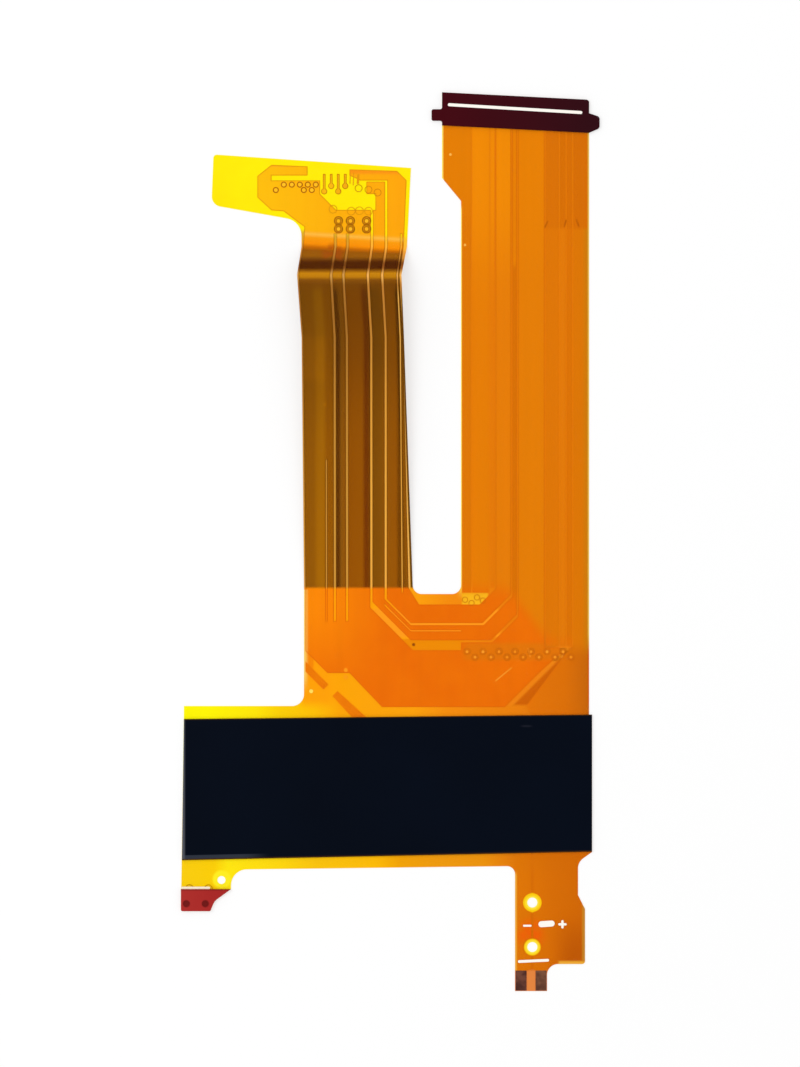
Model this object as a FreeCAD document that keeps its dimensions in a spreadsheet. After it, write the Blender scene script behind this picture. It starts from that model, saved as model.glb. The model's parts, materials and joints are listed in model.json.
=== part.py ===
import FreeCAD, Part
import math
import os
import re
import Sketcher

# Bare flexible printed circuit with two arms, lying flat, in millimetres.
# Plan sizes run from a datum at the left edge of the film and the end of its tail.
# +X is to the right and +Y towards the head, seen from the front, and +Z is up.
# The frame's origin is the middle of the underside.

SIZES = {
    # Thickness of each layer
    "film_thickness": 0.05,
    "copper_thickness": 0.03,
    "cover_thickness": 0.04,
    "tape_thickness": 0.1,
    "stiffener_thickness": 0.18,
    "plating_thickness": 0.02,
    # Tail with its tip, its jog and its tooling holes
    "tail_length": 12.5,
    "tail_width": 7.0,
    "tail_neck_width": 6.3,
    "tail_inset": 7.7,
    "tip_length": 2.7,
    "tip_width": 3.2,
    "tip_round": 1.1,
    "tail_round": 0.3,
    "tail_slope": 1.0,
    "tail_armpit_round": 1.2,
    "jog_position": 8.2,
    "jog_length": 1.4,
    "tail_hole_inset": 1.73,
    "tail_hole_low": 4.4,
    "tail_hole_spacing": 4.45,
    "tail_hole_radius": 0.5,
    "hole_clearance": 0.44,
    # Tab at the lower left
    "tab_drop": 4.15,
    "tab_width": 2.95,
    "tab_flare": 2.05,
    "tab_lean": 0.4,
    "tab_step": 1.0,
    "tab_height": 2.2,
    "tab_round": 1.2,
    "tab_corner_round": 0.18,
    "tab_armpit_round": 1.6,
    "tab_hole_inset": 0.95,
    "tab_hole_rise": 3.1,
    "tab_hole_radius": 0.4,
    "tab_mark_inset": 0.55,
    "tab_mark_spacing": 1.9,
    "tab_mark_radius": 0.35,
    "tab_mark_depth": 0.1,
    "tab_mark_rise": 0.75,
    # Wide body and its corners
    "body_height": 16.0,
    "body_lean": 0.3,
    "body_drop": 0.35,
    "body_right_step": 1.4,
    "body_overhang": 0.3,
    "body_overhang_drop": 1.0,
    "corner_round": 0.8,
    "armpit_round": 1.2,
    # Notch between the arms
    "notch_height": 11.2,
    "notch_width": 4.8,
    "notch_round": 0.9,
    # Left arm, formed upwards to a crest and down a short ramp to the wing
    "left_arm_offset": 12.3,
    "left_arm_width": 10.9,
    "left_arm_rise": 31.2,
    "foot_lead": 0.6,
    "waist_length": 6.2,
    "waist_lean": 0.2,
    "waist_narrowing": 0.7,
    "crest_height": 2.2,
    "crest_lean": 0.65,
    "crest_narrowing": 0.5,
    "ramp_length": 2.9,
    "neck_kick": 0.4,
    "neck_narrowing": 0.35,
    "neck_length": 2.6,
    "foot_bend": 20.0,
    "crest_bend": 2.4,
    "ramp_bend": 1.8,
    # Wing
    "wing_reach": 9.0,
    "wing_height": 5.3,
    "wing_skew": 1.35,
    "wing_droop": 1.6,
    "wing_lean": 0.2,
    "wing_overhang": 0.4,
    "wing_round": 1.0,
    "wing_corner_round": 0.35,
    "wing_armpit_round": 1.8,
    # Right arm and head
    "right_arm_width": 12.8,
    "right_arm_length": 39.3,
    "shoulder_height": 2.3,
    "pad_height": 4.5,
    "head_flare": 1.9,
    "head_height": 3.3,
    "head_skew": 0.75,
    "head_round": 0.3,
    "ear_length": 1.05,
    "ear_height": 1.15,
    "ear_drop": 1.7,
    "ear_round": 0.35,
    "ear_join": 0.2,
    "finger_count": 28,
    "finger_pitch": 0.5,
    "finger_width": 0.3,
    "finger_length": 2.4,
    "finger_margin": 0.4,
    # Copper: distance to the film's edge, gap between neighbours, slots and gaps across the left arm,
    # and how far these lie to the right on the crest
    "edge_margin": 0.15,
    "track_gap": 0.22,
    "fine_gap": 0.12,
    "slot_1_offset": 2.25,
    "slot_1_drop": 12.2,
    "slot_2_offset": 3.09,
    "slot_3_offset": 4.31,
    "gap_4_offset": 6.74,
    "gap_5_offset": 8.17,
    "slot_6_inset": 0.38,
    "line_shift": 0.3,
    "arm_copper_inset": 0.7,
    "arm_copper_taper": 0.25,
    # Copper across the right arm, widths from left to right
    "lane_1_width": 0.85,
    "lane_2_width": 1.7,
    "lane_3_width": 0.4,
    "lane_4_width": 1.55,
    "lane_5_width": 0.45,
    "lane_6_width": 2.65,
    "lane_7_width": 1.3,
    "lane_8_width": 0.55,
    "lane_9_width": 0.55,
    "lane_end_setback": 0.3,
    # Copper in the body
    "slot_depth": 2.7,
    "bare_band": 0.75,
    "supply_band": 1.85,
    "signal_band": 1.5,
    "ground_setback": 1.0,
    "supply_turn": 1.6,
    "turn_share": 0.63,
    "ground_low_gap": 0.1,
    "ground_notch_rise": 3.4,
    "ground_chamfer": 2.2,
    "ground_right_run": 3.95,
    "via_row_height": 5.95,
    "minus_rise": 7.0,
    "strip_width": 1.0,
    "strip_length": 2.3,
    "strip_gap": 0.9,
    # Copper in the wing
    "pour_reach": 4.4,
    "pour_chamfer": 1.4,
    "pour_inset": 0.6,
    "window_left": 1.85,
    "window_width": 5.55,
    "window_height": 1.6,
    "window_low": 1.1,
    "slit_height": 0.5,
    "slit_drop": 1.25,
    "supply_pour_drop": 1.1,
    "supply_pour_reach": 5.9,
    # Vias, round lands and fine tracks
    "via_radius": 0.3,
    "via_stagger": 0.54,
    "wing_via_pitch": 0.8,
    "wing_via_count": 5,
    "small_via_radius": 0.22,
    "small_via_pitch": 0.8,
    "body_via_count": 14,
    "fine_track_width": 0.25,
    "fine_track_pitch": 0.7,
    "fine_track_length": 1.2,
    "fine_track_count": 4,
    # Black tape across the body
    "tape_inset": 0.95,
    "tape_high_inset": 1.3,
    "tape_low_rise": 0.85,
    "tape_high_rise": 0.45,
    # Exposed contacts at the end of the tail
    "contact_width": 1.1,
    "contact_length": 2.0,
    "contact_end": 0.05,
    # Room round the helper solids that the outlines are cut from
    "blank_margin": 1.0,
}

# Places worked out from the sizes
PLACES = {
    "body_low": "tail_length",
    "body_low_left": "body_low - body_drop",
    "body_low_right": "body_low + body_right_step",
    "body_high": "body_low + body_height",
    "body_step": "body_high - body_overhang_drop",
    "notch_floor": "body_high + notch_height",
    "arm_foot": "notch_floor + foot_lead",
    "crest": "arm_foot + left_arm_rise",
    "waist": "crest - waist_length",
    "ramp_foot": "crest + ramp_length",
    "wing_low": "ramp_foot + neck_length",
    "wing_high": "wing_low + wing_height",
    "wing_top": "wing_high + wing_skew",
    "shoulder": "notch_floor + right_arm_length",
    "pad_low": "shoulder + shoulder_height",
    "head_low": "pad_low + pad_height",
    "head_high": "head_low + head_height",
    "head_top": "head_high + head_skew",
    "tab_low": "body_low_left - tab_drop",
    "arm_left": "left_arm_offset",
    "arm_right": "arm_left + left_arm_width",
    "right_arm_left": "arm_right + notch_width",
    "right_arm_right": "right_arm_left + right_arm_width",
    "body_right": "right_arm_right + body_overhang",
    "waist_left": "arm_left - waist_lean",
    "waist_right": "waist_left + left_arm_width - waist_narrowing",
    "crest_left": "arm_left - crest_lean",
    "crest_right": "crest_left + left_arm_width - crest_narrowing",
    "neck_left": "crest_left + neck_kick",
    "neck_right": "neck_left + left_arm_width - neck_narrowing",
    "wing_left": "neck_left - wing_reach",
    "wing_right": "neck_right + wing_overhang",
    "head_left": "right_arm_left - head_flare",
    "tail_left": "body_right - tail_inset",
    "tail_right": "tail_left + tail_width",
    "tail_neck_right": "tail_left + tail_neck_width",
    "tip_right": "tail_left + tip_width",
    "tail_hole": "tail_left + tail_hole_inset",
    "tail_hole_high": "tail_hole_low + tail_hole_spacing",
    "overall_width": "right_arm_right + ear_length",
    "overall_length": "head_top",
    "split": "arm_right + notch_width / 2",
    "copper_low": "film_thickness",
    "copper_high": "film_thickness + copper_thickness",
    "cover_high": "film_thickness + copper_thickness + cover_thickness",
    "half_gap": "track_gap / 2",
    "arm_copper_width": "left_arm_width - arm_copper_inset",
    "slot_6_offset": "arm_copper_width - slot_6_inset",
    # Right arm lanes, left edges
    "lane_1": "right_arm_left + edge_margin",
    "lane_2": "lane_1 + lane_1_width + fine_gap",
    "lane_3": "lane_2 + lane_2_width + fine_gap",
    "lane_4": "lane_3 + lane_3_width + fine_gap",
    "lane_5": "lane_4 + lane_4_width + fine_gap",
    "lane_6": "lane_5 + lane_5_width + fine_gap",
    "lane_7": "lane_6 + lane_6_width + fine_gap",
    "lane_8": "lane_7 + lane_7_width + fine_gap",
    "lane_9": "lane_8 + lane_8_width + fine_gap",
    "lane_10": "lane_9 + lane_9_width + fine_gap",
    "copper_end": "head_high - lane_end_setback",
    # Bands that run to the right under the notch
    "supply_high": "notch_floor - bare_band - lane_end_setback",
    "supply_low": "supply_high - supply_band",
    "signal_high": "supply_low - track_gap",
    "signal_low": "signal_high - signal_band",
    "ground_high": "signal_low - ground_setback",
    # Lines at 45 degrees where the bands turn up into the right arm, each as its Y less its X
    "supply_upper_line": "supply_high - lane_4 + supply_turn",
    "supply_lower_line": "supply_upper_line - (supply_band + lane_4_width) * turn_share",
    "signal_upper_line": "supply_lower_line - track_gap * 3 / 2",
    "signal_lower_line": "signal_upper_line - signal_band * 3 / 2",
    "ground_line": "signal_lower_line - track_gap * 3 / 2",
    "ground_low": "body_high - ground_low_gap",
    "via_row": "ground_low + via_row_height",
    # Minus side of the tail, its boundary with the plus side and its end under the tape
    "tail_split": "tail_hole",
    "minus_high": "body_low + minus_rise",
}

doc = FreeCAD.newDocument("flat_flex_cable")


def make_sheet(name, values):
    sheet = doc.addObject("Spreadsheet::Sheet", name)
    for row, (alias, value) in enumerate(values.items(), start=1):
        sheet.set(f"A{row}", alias)
        sheet.set(f"B{row}", value)
        sheet.setAlias(f"B{row}", alias)
    doc.recompute()
    return sheet


def bound(text):
    """An expression on the two sheets, from one that uses the bare names."""
    def full_name(match):
        word = match.group(0)
        if word in SIZES:
            return f"Sizes.{word}"
        return f"Places.{word}"
    return re.sub(r"[a-z]\w*", full_name, str(text))


sizes = make_sheet("Sizes", {name: str(value) for name, value in SIZES.items()})
places = make_sheet("Places", {name: "=" + bound(text) for name, text in PLACES.items()})


def value_of(text):
    return float(places.evalExpression(bound(text)))


def new_sketch(body, role, across, along, height):
    """A sketch on one of the body's own planes, with its zero moved to the datum."""
    sketch = body.newObject("Sketcher::SketchObject", "Sketch")
    plane = [part for part in body.Origin.OriginFeatures if part.Role == role][0]
    sketch.AttachmentSupport = [(plane, "")]
    sketch.MapMode = "FlatFace"
    for axis, text in (("x", across), ("y", along), ("z", height)):
        sketch.setExpression(f"AttachmentOffset.Base.{axis}", bound(text))
    return sketch


def hold(sketch, rules):
    """Add constraints in one go; a rule with a second entry is held by that expression."""
    added = sketch.addConstraint([rule[0] for rule in rules])
    for number, rule in zip(added, rules):
        if len(rule) == 2:
            sketch.setExpression(f"Constraints[{number}]", bound(rule[1]))


def pinned(geometry, position, corner):
    """Rules that hold one point of a sketch at a corner's two expressions."""
    return [
        (Sketcher.Constraint(kind, -1, 1, geometry, position, value_of(text)), text)
        for kind, text in (("DistanceX", corner[0]), ("DistanceY", corner[1]))
    ]


def draw_loop(sketch, corners):
    """A closed outline, where a corner with a third entry is rounded to that radius."""
    points = [FreeCAD.Vector(value_of(corner[0]), value_of(corner[1]), 0) for corner in corners]
    count = len(corners)
    starts, ends, arcs = [], [], {}
    for index, corner in enumerate(corners):
        here = points[index]
        back = (points[index - 1] - here).normalize()
        ahead = (points[(index + 1) % count] - here).normalize()
        if len(corner) == 2:
            starts.append(here)
            ends.append(here)
            continue
        radius = value_of(corner[2])
        half = back.getAngle(ahead) / 2
        run = radius / math.tan(half)
        middle = here + (back + ahead).normalize() * (radius / math.sin(half))
        ends.append(here + back * run)
        starts.append(here + ahead * run)
        left_turn = back.cross(ahead).z < 0
        first, last = (ends[-1], starts[-1]) if left_turn else (starts[-1], ends[-1])
        circle = Part.Circle(middle, FreeCAD.Vector(0, 0, 1), radius)
        arcs[index] = (Part.ArcOfCircle(circle, circle.parameter(first), circle.parameter(last)), left_turn)
    lines = []
    for index in range(count):
        line = Part.LineSegment(starts[index], ends[(index + 1) % count])
        lines.append(sketch.addGeometry(line))
    rules = []
    for index, corner in enumerate(corners):
        before, after = lines[index - 1], lines[index]
        if index not in arcs:
            rules.append((Sketcher.Constraint("Coincident", before, 2, after, 1),))
            rules += pinned(after, 1, corner)
            continue
        arc, left_turn = arcs[index]
        curve = sketch.addGeometry(arc)
        first, last = (1, 2) if left_turn else (2, 1)
        rules.append((Sketcher.Constraint("Tangent", before, 2, curve, first),))
        rules.append((Sketcher.Constraint("Tangent", curve, last, after, 1),))
        rules.append((Sketcher.Constraint("Radius", curve, value_of(corner[2])), corner[2]))
        tip = sketch.addGeometry(Part.Point(points[index]), True)
        rules.append((Sketcher.Constraint("PointOnObject", tip, 1, before),))
        rules.append((Sketcher.Constraint("PointOnObject", tip, 1, after),))
        rules += pinned(tip, 1, corner)
    hold(sketch, rules)


def draw_circle(sketch, centre, radius):
    middle = FreeCAD.Vector(value_of(centre[0]), value_of(centre[1]), 0)
    ring = sketch.addGeometry(Part.Circle(middle, FreeCAD.Vector(0, 0, 1), value_of(radius)))
    hold(sketch, [(Sketcher.Constraint("Radius", ring, value_of(radius)), radius), *pinned(ring, 3, centre)])


def new_body(label):
    body = doc.addObject("PartDesign::Body", label)
    body.Label = label
    body.AllowCompound = True
    return body


def add_pad(body, sketch, length):
    pad = body.newObject("PartDesign::Pad", "Pad")
    pad.Profile = sketch
    pad.setExpression("Length", bound(length))
    sketch.Visibility = False
    return pad


def plan_body(label, loops, low, thickness, circles=()):
    """A flat piece: loops of corners, and circles as (centre, radius), padded upwards."""
    body = new_body(label)
    add_plan(body, loops, low, thickness, circles)
    return body


def add_plan(body, loops, low, thickness, circles=()):
    sketch = new_sketch(body, "XY_Plane", "-overall_width / 2", "-overall_length / 2", low)
    for corners in loops:
        draw_loop(sketch, corners)
    for centre, radius in circles:
        draw_circle(sketch, centre, radius)
    add_pad(body, sketch, thickness)


def drill(body, circles, low, depth):
    """Round holes cut upwards from a height to the body's top."""
    sketch = new_sketch(body, "XY_Plane", "-overall_width / 2", "-overall_length / 2", low)
    for centre, radius in circles:
        draw_circle(sketch, centre, radius)
    pocket = body.newObject("PartDesign::Pocket", "Holes")
    pocket.Profile = sketch
    pocket.Reversed = True
    pocket.setExpression("Length", bound(depth))
    sketch.Visibility = False


def outline_block(label, loops, circles=()):
    """A tall block of an outline, which a formed layer is cut from."""
    return plan_body(label, loops, "-blank_margin", "crest_height + 3 * blank_margin", circles)


def rectangle(left, right, low, high):
    return [(left, low), (right, low), (right, high), (left, high)]


def formed_layer(label, low, thickness):
    """One layer over the whole plan: bent up and down over the left arm, flat elsewhere."""
    body = new_body(label)
    sketch = new_sketch(body, "YZ_Plane", "-overall_length / 2", low, "-overall_width / 2 - blank_margin")
    path = [
        ("-blank_margin", "0"),
        ("arm_foot", "0", "foot_bend"),
        ("crest", "crest_height", "crest_bend"),
        ("ramp_foot", "0", "ramp_bend"),
        ("overall_length + blank_margin", "0"),
    ]
    raised = [(corner[0], f"{corner[1]} + {thickness}", *corner[2:]) for corner in path]
    draw_loop(sketch, path + raised[::-1])
    add_pad(body, sketch, "split + blank_margin")
    far_right, far_high = "overall_width + blank_margin", "overall_length + blank_margin"
    add_plan(body, [rectangle("split", far_right, "-blank_margin", far_high)], low, thickness)
    return body


def boolean(kind, label, base, tool):
    result = doc.addObject(kind, label)
    result.Label = label
    result.Base = base
    result.Tool = tool
    result.Refine = True
    return result


def gather(label, members):
    group = doc.addObject("Part::Compound", label)
    group.Links = members
    return group


def arm_line(offset, waist_shift="0", shift="0"):
    """A line up the left arm at an offset from its left edge, shifted at the waist and on the crest."""
    return [
        (f"arm_left + {offset}", "arm_foot"),
        (f"waist_left + {offset} + {waist_shift}", "waist"),
        (f"crest_left + {offset} + {shift}", "crest"),
        (f"neck_left + {offset} + {shift}", "ramp_foot"),
    ]


# Film outline, anticlockwise from the end of the tail
film_outline = [
    ("tail_left", "0"),
    ("tip_right", "0"),
    ("tip_right", "tip_length", "tip_round"),
    ("tail_right", "tip_length", "tail_round"),
    ("tail_right", "jog_position"),
    ("tail_neck_right", "jog_position + jog_length"),
    ("tail_neck_right", "body_low_right - tail_slope", "tail_armpit_round"),
    ("body_right", "body_low_right"),
    ("body_right", "body_step"),
    ("right_arm_right", "body_step"),
    ("right_arm_right", "head_high", "head_round"),
    ("head_left", "head_top"),
    ("head_left", "pad_low"),
    ("right_arm_left", "shoulder"),
    ("right_arm_left", "notch_floor", "notch_round"),
    ("arm_right", "notch_floor", "notch_round"),
    ("waist_right", "waist"),
    ("crest_right", "crest"),
    ("neck_right", "ramp_foot"),
    ("wing_right", "wing_high"),
    ("wing_left + wing_lean", "wing_top", "wing_corner_round"),
    ("wing_left", "wing_low + wing_droop", "wing_round"),
    ("neck_left", "wing_low", "wing_armpit_round"),
    ("neck_left", "ramp_foot"),
    ("crest_left", "crest"),
    ("waist_left", "waist"),
    ("arm_left", "arm_foot"),
    ("arm_left", "body_high", "armpit_round"),
    ("body_lean", "body_high"),
    ("0", "tab_low", "tab_corner_round"),
    ("tab_width", "tab_low", "tab_corner_round"),
    ("tab_width + tab_lean", "tab_low + tab_step", "tab_round"),
    ("tab_width + tab_flare", "tab_low + tab_height"),
    ("tab_width + tab_flare", "body_low_left", "tab_armpit_round"),
    ("tail_left", "body_low", "corner_round"),
]
tooling_holes = [
    (("tail_hole", "tail_hole_low"), "tail_hole_radius"),
    (("tail_hole", "tail_hole_high"), "tail_hole_radius"),
    (("tab_width + tab_flare - tab_hole_inset", "tab_low + tab_hole_rise"), "tab_hole_radius"),
]

film_block = outline_block("film_block", [film_outline], tooling_holes)
film_layer = formed_layer("film_layer", "0", "film_thickness")
copper_layer = formed_layer("copper_layer", "copper_low", "copper_thickness")
cover_layer = formed_layer("cover_layer", "copper_low", "copper_thickness + cover_thickness")


def conductor(label, outline, slots=()):
    """A run of copper that follows the form of the film."""
    block = outline_block(label + "_block", [outline, *slots])
    return boolean("Part::Common", label, copper_layer, block)


def arm_slot(offset, gap, low, shifts):
    """A slot in the copper along the left arm, up to just above the ramp."""
    high = "ramp_foot + neck_length / 2"
    right_side, left_side = [
        [(f"arm_left + {side}", low), *arm_line(side, *shifts), (f"neck_left + {side} + {shifts[1]}", high)]
        for side in (f"{offset} + {gap} / 2", f"{offset} - {gap} / 2")
    ]
    return right_side + left_side[::-1]


# Ground copper: wing pour, left part of the left arm, body and one lane of the right arm
line_shifts = ("waist_lean", "line_shift")
slot_low = "notch_floor - slot_depth"
gap_4_left, gap_4_right = "gap_4_offset - half_gap", "gap_4_offset + half_gap"
gap_5_left, gap_5_right = "gap_5_offset - half_gap", "gap_5_offset + half_gap"
window_high = "wing_low + window_low + window_height"
slit_high = "wing_high - slit_drop"
ground_left = [
    ("neck_left - pour_reach + pour_chamfer", "wing_high + pour_inset / 2"),
    ("neck_left - pour_reach", "wing_high - pour_chamfer + pour_inset"),
    ("neck_left - pour_reach", "wing_low + pour_chamfer + edge_margin + wing_droop / 2"),
    ("neck_left - pour_reach + pour_chamfer", "wing_low + wing_droop * 2 / 3"),
    ("neck_left - wing_armpit_round", "wing_low + wing_droop / 3 + edge_margin * 3"),
    ("neck_left + 2 * edge_margin", "wing_low - pour_inset"),
    *arm_line("edge_margin")[::-1],
    ("arm_left + edge_margin", "ground_low + ground_notch_rise + ground_chamfer"),
    ("arm_left + edge_margin + ground_chamfer", "ground_low + ground_notch_rise"),
    ("arm_left + 2 * ground_chamfer + edge_margin", "ground_low + ground_notch_rise"),
    ("arm_left + 2 * ground_chamfer + ground_notch_rise", "ground_low"),
]
ground_right = [
    ("lane_6 + lane_6_width - ground_right_run", "ground_low"),
    ("lane_6 + lane_6_width - pour_inset", "ground_low + ground_right_run - pour_inset"),
    ("lane_8", "via_row - pour_inset"),
    ("lane_8", "via_row"),
    ("lane_6 + lane_6_width", "via_row"),
    ("lane_6 + lane_6_width", "copper_end"),
    ("lane_6", "copper_end"),
    ("lane_6", "lane_6 + ground_line"),
    ("signal_low - track_gap - ground_line", "signal_low - track_gap"),
    ("right_arm_left", "signal_low - track_gap"),
    ("right_arm_left", "ground_high"),
    ("arm_right", "ground_high"),
    (f"arm_left + {gap_4_left}", f"ground_high + left_arm_width - ({gap_4_left})"),
    *arm_line(gap_4_left, *line_shifts),
    (f"neck_left + {gap_4_left} + line_shift", "wing_low + window_low"),
    ("neck_left + window_left + window_height", "wing_low + window_low"),
    ("neck_left + window_left", "wing_low + window_low + window_height"),
    ("neck_left + window_left", slit_high),
    ("neck_left - pour_reach + pour_chamfer", slit_high),
    ("neck_left - pour_reach + pour_chamfer", f"{slit_high} + slit_height"),
    ("neck_left + pour_inset", f"{slit_high} + slit_height"),
    ("neck_left + pour_inset", "wing_high + pour_inset / 2 - edge_margin"),
]
ground_conductor = conductor(
    "ground_conductor",
    ground_left + ground_right,
    [
        rectangle(
            "arm_left + slot_1_offset - fine_gap / 2",
            "arm_left + slot_1_offset + fine_gap / 2",
            slot_low,
            "waist - slot_1_drop",
        ),
        arm_slot("slot_2_offset", "track_gap", slot_low, line_shifts),
        arm_slot("slot_3_offset", "track_gap", slot_low, line_shifts),
    ],
)

# Signal copper: from the wing down the left arm, under the notch and up the right arm
signal_bend = f"signal_low + arm_right - track_gap - arm_left - ({gap_4_right})"
signal_left = [
    ("lane_5 + lane_5_width", "copper_end"),
    ("lane_5 + lane_5_width", "lane_5 + lane_5_width + signal_lower_line"),
    ("signal_low - signal_lower_line", "signal_low"),
    ("arm_right - track_gap", "signal_low"),
    (f"arm_left + {gap_4_right}", signal_bend),
    *arm_line(gap_4_right, *line_shifts),
    (f"neck_left + {gap_4_right} + line_shift", "wing_low + window_low"),
    ("neck_left + window_left + window_width", "wing_low + window_low"),
    ("neck_left + window_left + window_width", window_high),
    ("neck_left + window_left + window_width - via_radius * 3", window_high),
    ("neck_left + window_left + window_width - via_radius * 3", f"{slit_high} - fine_gap"),
]
signal_right = [
    (f"neck_left + {gap_5_left} + line_shift", f"{slit_high} - fine_gap"),
    *arm_line(gap_5_left, *line_shifts)[::-1],
    (f"arm_left + {gap_5_left}", f"signal_high + arm_right - track_gap - arm_left - ({gap_5_left})"),
    ("arm_right - track_gap", "signal_high"),
    ("signal_high - signal_upper_line", "signal_high"),
    ("lane_5", "lane_5 + signal_upper_line"),
    ("lane_5", "copper_end"),
]
line_turn = "signal_high - fine_gap - signal_band / 4"
line_left = f"arm_left + {gap_5_left}"
signal_line = [
    (line_left, f"{line_turn} + arm_right - track_gap - ({line_left})"),
    ("arm_right - track_gap", line_turn),
    ("right_arm_left", line_turn),
    ("right_arm_left", f"{line_turn} - fine_gap"),
    ("arm_right - track_gap", f"{line_turn} - fine_gap"),
    (line_left, f"{line_turn} - fine_gap * 3 / 2 + arm_right - track_gap - ({line_left})"),
]
signal_conductor = conductor("signal_conductor", signal_left + signal_right, [signal_line])

# Supply copper: right part of the left arm, along the notch and up the right arm
supply_left = [
    ("lane_4 + lane_4_width", "copper_end"),
    ("lane_4 + lane_4_width", "lane_4 + lane_4_width + supply_lower_line"),
    ("supply_low - supply_lower_line", "supply_low"),
    ("arm_right - track_gap", "supply_low"),
    (f"arm_left + {gap_5_right}", f"supply_low + arm_right - track_gap - arm_left - ({gap_5_right})"),
    *arm_line(gap_5_right, *line_shifts),
    (f"neck_left + {gap_5_right} + line_shift", slit_high),
    ("neck_left + supply_pour_reach", slit_high),
    ("neck_left + supply_pour_reach - supply_pour_drop", f"{slit_high} + slit_height"),
    ("neck_left + supply_pour_reach - supply_pour_drop", "wing_high - edge_margin"),
]
supply_right = [
    ("wing_right - pour_chamfer", "wing_high - edge_margin * 2"),
    ("wing_right - edge_margin * 3", "wing_high - pour_chamfer + edge_margin"),
    *arm_line("arm_copper_width", "-half_gap")[:0:-1],
    ("arm_left + arm_copper_width + arm_copper_taper", "arm_foot"),
    ("arm_right - edge_margin", "notch_floor + edge_margin"),
    ("arm_right + foot_lead", "supply_high"),
    ("supply_high - supply_upper_line", "supply_high"),
    ("lane_4", "lane_4 + supply_upper_line"),
    ("lane_4", "copper_end"),
]
supply_conductor = conductor(
    "supply_conductor",
    supply_left + supply_right,
    [arm_slot("slot_6_offset", "fine_gap", "notch_floor + edge_margin", ("0", "line_shift / 2"))],
)


# Lanes of the right arm that end at vias, the first with the flare below the head
def track(number, lane, low):
    loop = rectangle(lane, f"{lane} + {lane}_width", low, "copper_end")
    return plan_body(f"right_arm_track_{number}", [loop], "copper_low", "copper_thickness")


left_lane_low = "notch_floor + edge_margin"
flare = [
    ("lane_1", left_lane_low),
    ("lane_1 + lane_1_width", left_lane_low),
    ("lane_1 + lane_1_width", "copper_end"),
    ("head_left + edge_margin", "copper_end"),
    ("head_left + edge_margin", "pad_low + edge_margin / 2"),
    ("lane_1", "shoulder + edge_margin / 2"),
]
tracks = [
    plan_body("right_arm_track_1", [flare], "copper_low", "copper_thickness"),
    track(2, "lane_2", left_lane_low),
    track(3, "lane_3", "lane_3 + lane_3_width + supply_upper_line + track_gap"),
    track(4, "lane_7", "via_row + fine_gap"),
    track(5, "lane_8", "via_row + fine_gap"),
    track(6, "lane_9", "via_row + fine_gap"),
]

# Tail copper: the plus side comes from the right arm, the minus side starts under the tape
hole_clearings = [(hole, f"{radius} + hole_clearance") for hole, radius in tooling_holes[:2]]
contact_top = "contact_end + contact_length"
plus_outline = [
    ("tip_right - contact_width - contact_end", "contact_end"),
    ("tip_right - contact_end", "contact_end"),
    ("tip_right - contact_end", "tip_length - tip_round / 2"),
    ("tip_right + tip_round / 2", "tip_length + edge_margin"),
    ("tail_right - edge_margin", "tip_length + edge_margin"),
    ("tail_right - edge_margin", "jog_position"),
    ("tail_neck_right - edge_margin", "jog_position + jog_length"),
    ("tail_neck_right - edge_margin", "body_low_right - tail_slope + edge_margin"),
    ("body_right - edge_margin", "body_low_right + edge_margin"),
    ("body_right - edge_margin", "body_step - edge_margin"),
    ("right_arm_right - edge_margin", "body_step - edge_margin"),
    ("right_arm_right - edge_margin", "copper_end"),
    ("lane_10", "copper_end"),
    ("lane_10", "via_row"),
    ("lane_8 + lane_8_width", "via_row - pour_inset"),
    ("tail_split - pour_inset", "body_high"),
    ("tail_split + half_gap", "body_high - 2 * pour_inset"),
    ("tail_split + half_gap", f"{contact_top} + edge_margin"),
    ("tip_right - contact_width - contact_end", f"{contact_top}"),
]
minus_outline = [
    ("tail_left + contact_end", "contact_end"),
    ("tail_left + contact_end + contact_width", "contact_end"),
    ("tail_left + contact_end + contact_width", f"{contact_top}"),
    ("tail_split - half_gap", f"{contact_top} + edge_margin"),
    ("tail_split - half_gap", "minus_high"),
    ("tail_left + contact_end", "minus_high"),
]
tail_plus = plan_body("tail_plus_conductor", [plus_outline], "copper_low", "copper_thickness")
tail_minus = plan_body("tail_minus_conductor", [minus_outline], "copper_low", "copper_thickness")
for body in (tail_plus, tail_minus):
    drill(body, hole_clearings, "copper_low", "copper_thickness")

# Plated contacts that lie bare at the end of the tail
tail_contacts = [
    plan_body(
        label,
        [rectangle(left, f"{left} + contact_width", "contact_end", contact_top)],
        "copper_high",
        "plating_thickness",
    )
    for label, left in (
        ("tail_minus_contact", "tail_left + contact_end"),
        ("tail_plus_contact", "tip_right - contact_width - contact_end"),
    )
]

# Slanting strips left of the ground copper, the lower one running under the tape
strip_left = "arm_left + edge_margin"
strip_high = "ground_low + ground_notch_rise + edge_margin"
strip_end = f"{strip_left} + strip_length"
second_left = f"{strip_end} + strip_gap"
upper_strip = [
    (strip_left, f"{strip_high} + strip_width"),
    (strip_left, strip_high),
    (f"{strip_end} - strip_width / 2", f"{strip_high} - strip_length + strip_width / 2"),
    (strip_end, f"{strip_high} - strip_length + strip_width"),
]
lower_strip = [
    (f"{second_left} - strip_width / 2", "ground_low + ground_low_gap + strip_width"),
    (second_left, "ground_low + ground_low_gap + strip_width * 3 / 2"),
    (f"{second_left} + strip_length + strip_width", "body_high - strip_width * 3 / 2"),
    (f"{second_left} + strip_length - strip_width / 2", "body_high - strip_width * 3 / 2"),
]
strips = plan_body("body_strips", [upper_strip, lower_strip], "copper_low", "copper_thickness")

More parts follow.
